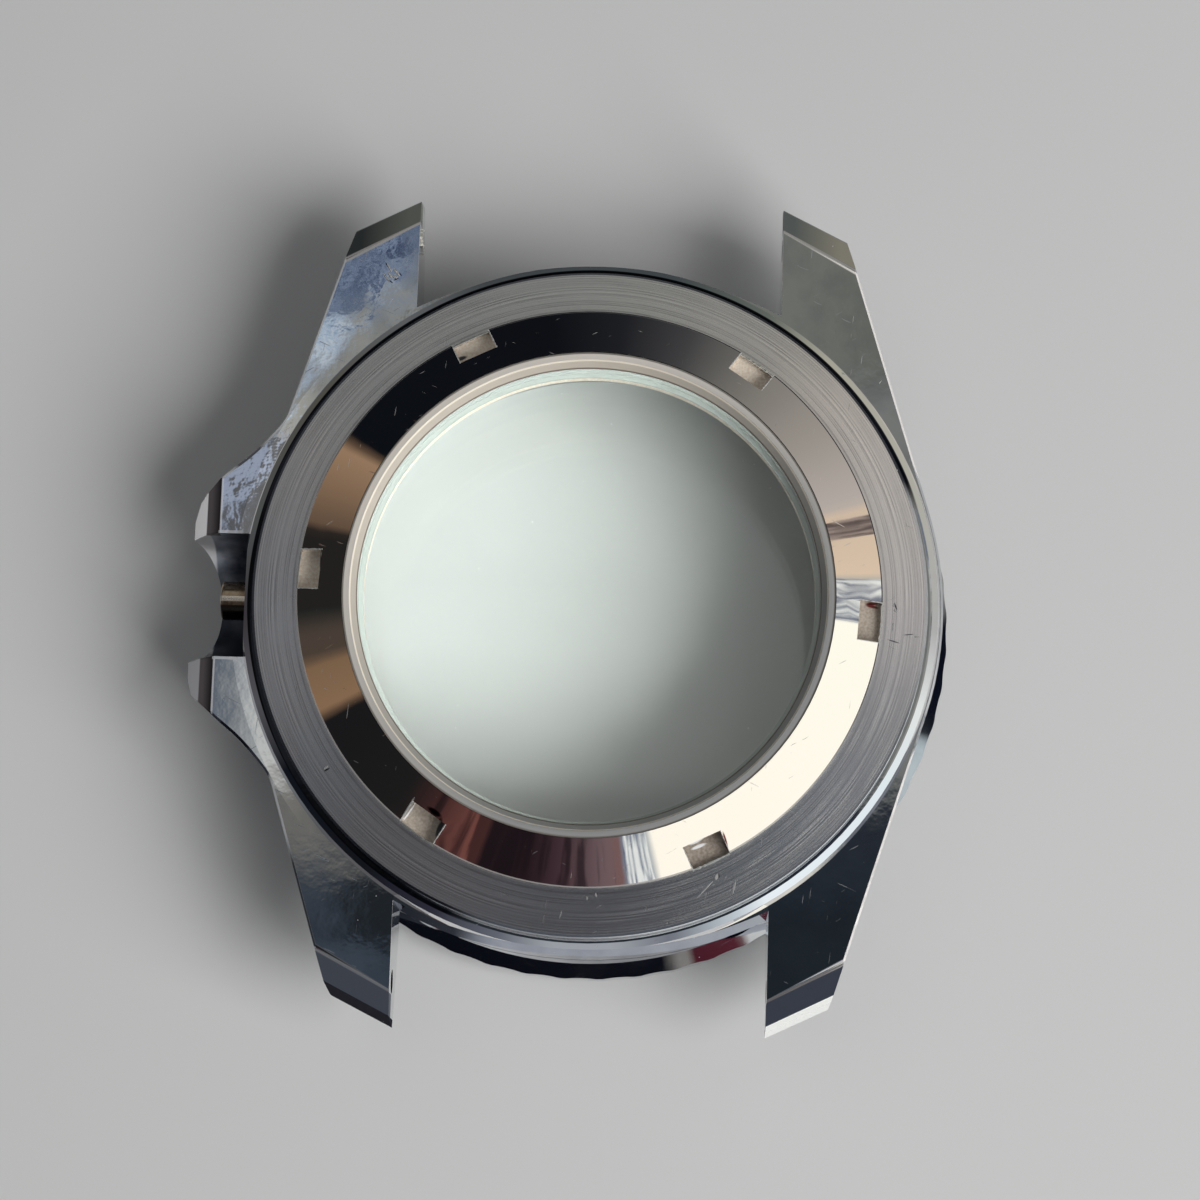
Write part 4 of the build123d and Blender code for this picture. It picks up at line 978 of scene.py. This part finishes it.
burr_steel, tree, look = finish("bright_burr_steel", Metallic=1.0)
hairs = use(tree, scratches, Length=0.6, Amount=0.5)["Mask"]
feed(look, Base_Color=blend(tree, hairs, (248, 247, 244), (214, 213, 210)))
feed(look, Roughness=between(tree, hairs, 0.0, 1.0, 0.3, 0.5))

# %% Burrs round the notches
first_notch, notch_count = -3.9, 6
notch_angle = np.radians(first_notch + 360 / notch_count * np.arange(notch_count))
radial = np.stack([np.cos(notch_angle), np.sin(notch_angle), 0 * notch_angle], -1)[:, None]
tangent = np.stack([-np.sin(notch_angle), np.cos(notch_angle), 0 * notch_angle], -1)[:, None]
upward = np.array([0, 0, 1.0])
half_width, notch_in, notch_out = 1.075, 14.4, 15.65
cone_foot, cone_rise, cone_width, ring_edge = 11.2, 0.98, 2.5, 10.7


def cone_height(r):
    """Height of the polished cone at this radius."""
    return cone_foot + (notch_out - r) * cone_rise / cone_width


run = np.linspace(0, 1, 17)[None, :, None]
for part, seed in (("low", 1), ("high", 2)):
    v = half_width if part == "high" else -half_width
    u = notch_in + run * (math.sqrt(notch_out**2 - v**2) - notch_in)
    path = radial * u + tangent * v
    path = path + upward * cone_height(np.hypot(u, v))
    rings = ragged(path, upward + 0 * path, tangent + 0 * path, width=0.09, height=0.035, seed=seed)
    settle(swept(f"notch_burr_{part}_side", rings), burr_steel, "back")
v = (run - 0.5) * 2 * half_width
path = radial * np.sqrt(notch_out**2 - v**2) + tangent * v + upward * ring_edge
out_way = path * [1, 1, 0] / notch_out
rings = ragged(path, upward - 0.9 * out_way, out_way, width=0.16, height=0.07, seed=3)
settle(swept("notch_burr_ring_side", rings), burr_steel, "back")

# %% Burr at the mouth of one spring-bar hole
hole_x, hole_y, hole_z, hole_r = -9.99, 20.5, 7.0, 0.66
angle = np.linspace(0.3, 1.5 * math.pi, 25)
hole_path = np.stack([0 * angle + hole_x, hole_y + hole_r * np.cos(angle), hole_z + hole_r * np.sin(angle)], -1)
hole_side = np.stack([0 * angle, np.cos(angle), np.sin(angle)], -1)
hole_out = np.array([1.0, 0, 0]) + 0 * hole_path
rings = ragged(hole_path[None], hole_out[None], hole_side[None], width=0.16, height=0.16, seed=4)
settle(swept("bar_hole_burr", rings), burr_steel, "case")

# %% [markdown]
# ## Marks on the bezel insert
#
# The insert lies on the dial side, which the photograph hides. A turning bezel of this kind counts
# minutes, so it gets plain minute bars and tens: thin inlays that follow the slope of its face.

# %% Minute bars
insert_edge, insert_in, insert_slope, tens_r, tens_size = 0.33, 15.7, 0.0984, 17.2, 2.4
bar_out, long_in, short_in, long_half, short_half = 18.2, 16.2, 17.5, 0.22, 0.09


def on_insert(r, lift):
    """Height of the insert's face at this radius, lifted towards the dial side."""
    return insert_edge + (r - insert_in) * insert_slope - lift


minutes = np.array([m for m in range(60) if m % 10 and m not in (1, 59)])
around = minutes * 2 * math.pi / 60
away = np.stack([-np.sin(around), np.cos(around)], -1)
along = np.stack([-np.cos(around), -np.sin(around)], -1)
long_bar = (minutes % 5 == 0)[:, None]
bar_r = np.where(long_bar, [[long_in, bar_out]], [[short_in, bar_out]])
bar_half = np.where(long_bar[:, 0], long_half, short_half)
bar_side = np.array([-1.0, 1.0, 1.0, -1.0])
bar_lift = np.array([-0.01, -0.01, 0.02, 0.02])
bar_across = (bar_side * bar_half[:, None])[:, None, :, None]
bar_xy = away[:, None, None] * bar_r[:, :, None, None] + along[:, None, None] * bar_across
bar_z = on_insert(bar_r[:, :, None], bar_lift) + 0 * bar_xy[..., 0]
mark_paint, tree, look = finish("pale_mark_paint", Roughness=0.45)
smudge = use(tree, smudges, Patches_per_mm=3.0)
feed(look, Base_Color=blend(tree, smudge["Mask"], (222, 222, 214), (204, 204, 196)))
relief(look, smudge["Height"], 0.01 * mm)
bars = swept("minute_bars", np.concatenate([bar_xy, bar_z[..., None]], -1))
settle(bars, mark_paint, "bezel")

# %% Tens
for minute in range(10, 60, 10):
    letters = bpy.data.curves.new(f"ten_{minute}", "FONT")
    letters.body = str(minute)
    letters.size, letters.extrude = tens_size, 0.015
    letters.align_x, letters.align_y = "CENTER", "CENTER"
    drawn = bpy.data.objects.new(f"ten_{minute}_curve", letters)
    scene.collection.objects.link(drawn)
    bpy.context.view_layer.update()
    made = bpy.data.meshes.new_from_object(drawn.evaluated_get(bpy.context.evaluated_depsgraph_get()))
    bpy.data.objects.remove(drawn)
    flat = np.empty(len(made.vertices) * 3)
    made.vertices.foreach_get("co", flat)
    across_text, up_text, thick = flat.reshape(-1, 3).T
    turn_by = minute * 2 * math.pi / 60
    r = tens_r + up_text
    placed = np.stack([
        -r * math.sin(turn_by) - across_text * math.cos(turn_by),
        r * math.cos(turn_by) - across_text * math.sin(turn_by),
        on_insert(r, 0.005) - thick,
    ], -1)
    made.vertices.foreach_set("co", (placed * mm).ravel())
    made.materials.clear()
    tens = bpy.data.objects.new(f"minute_ten_{minute}", made)
    scene.collection.objects.link(tens)
    settle(tens, mark_paint, "bezel")
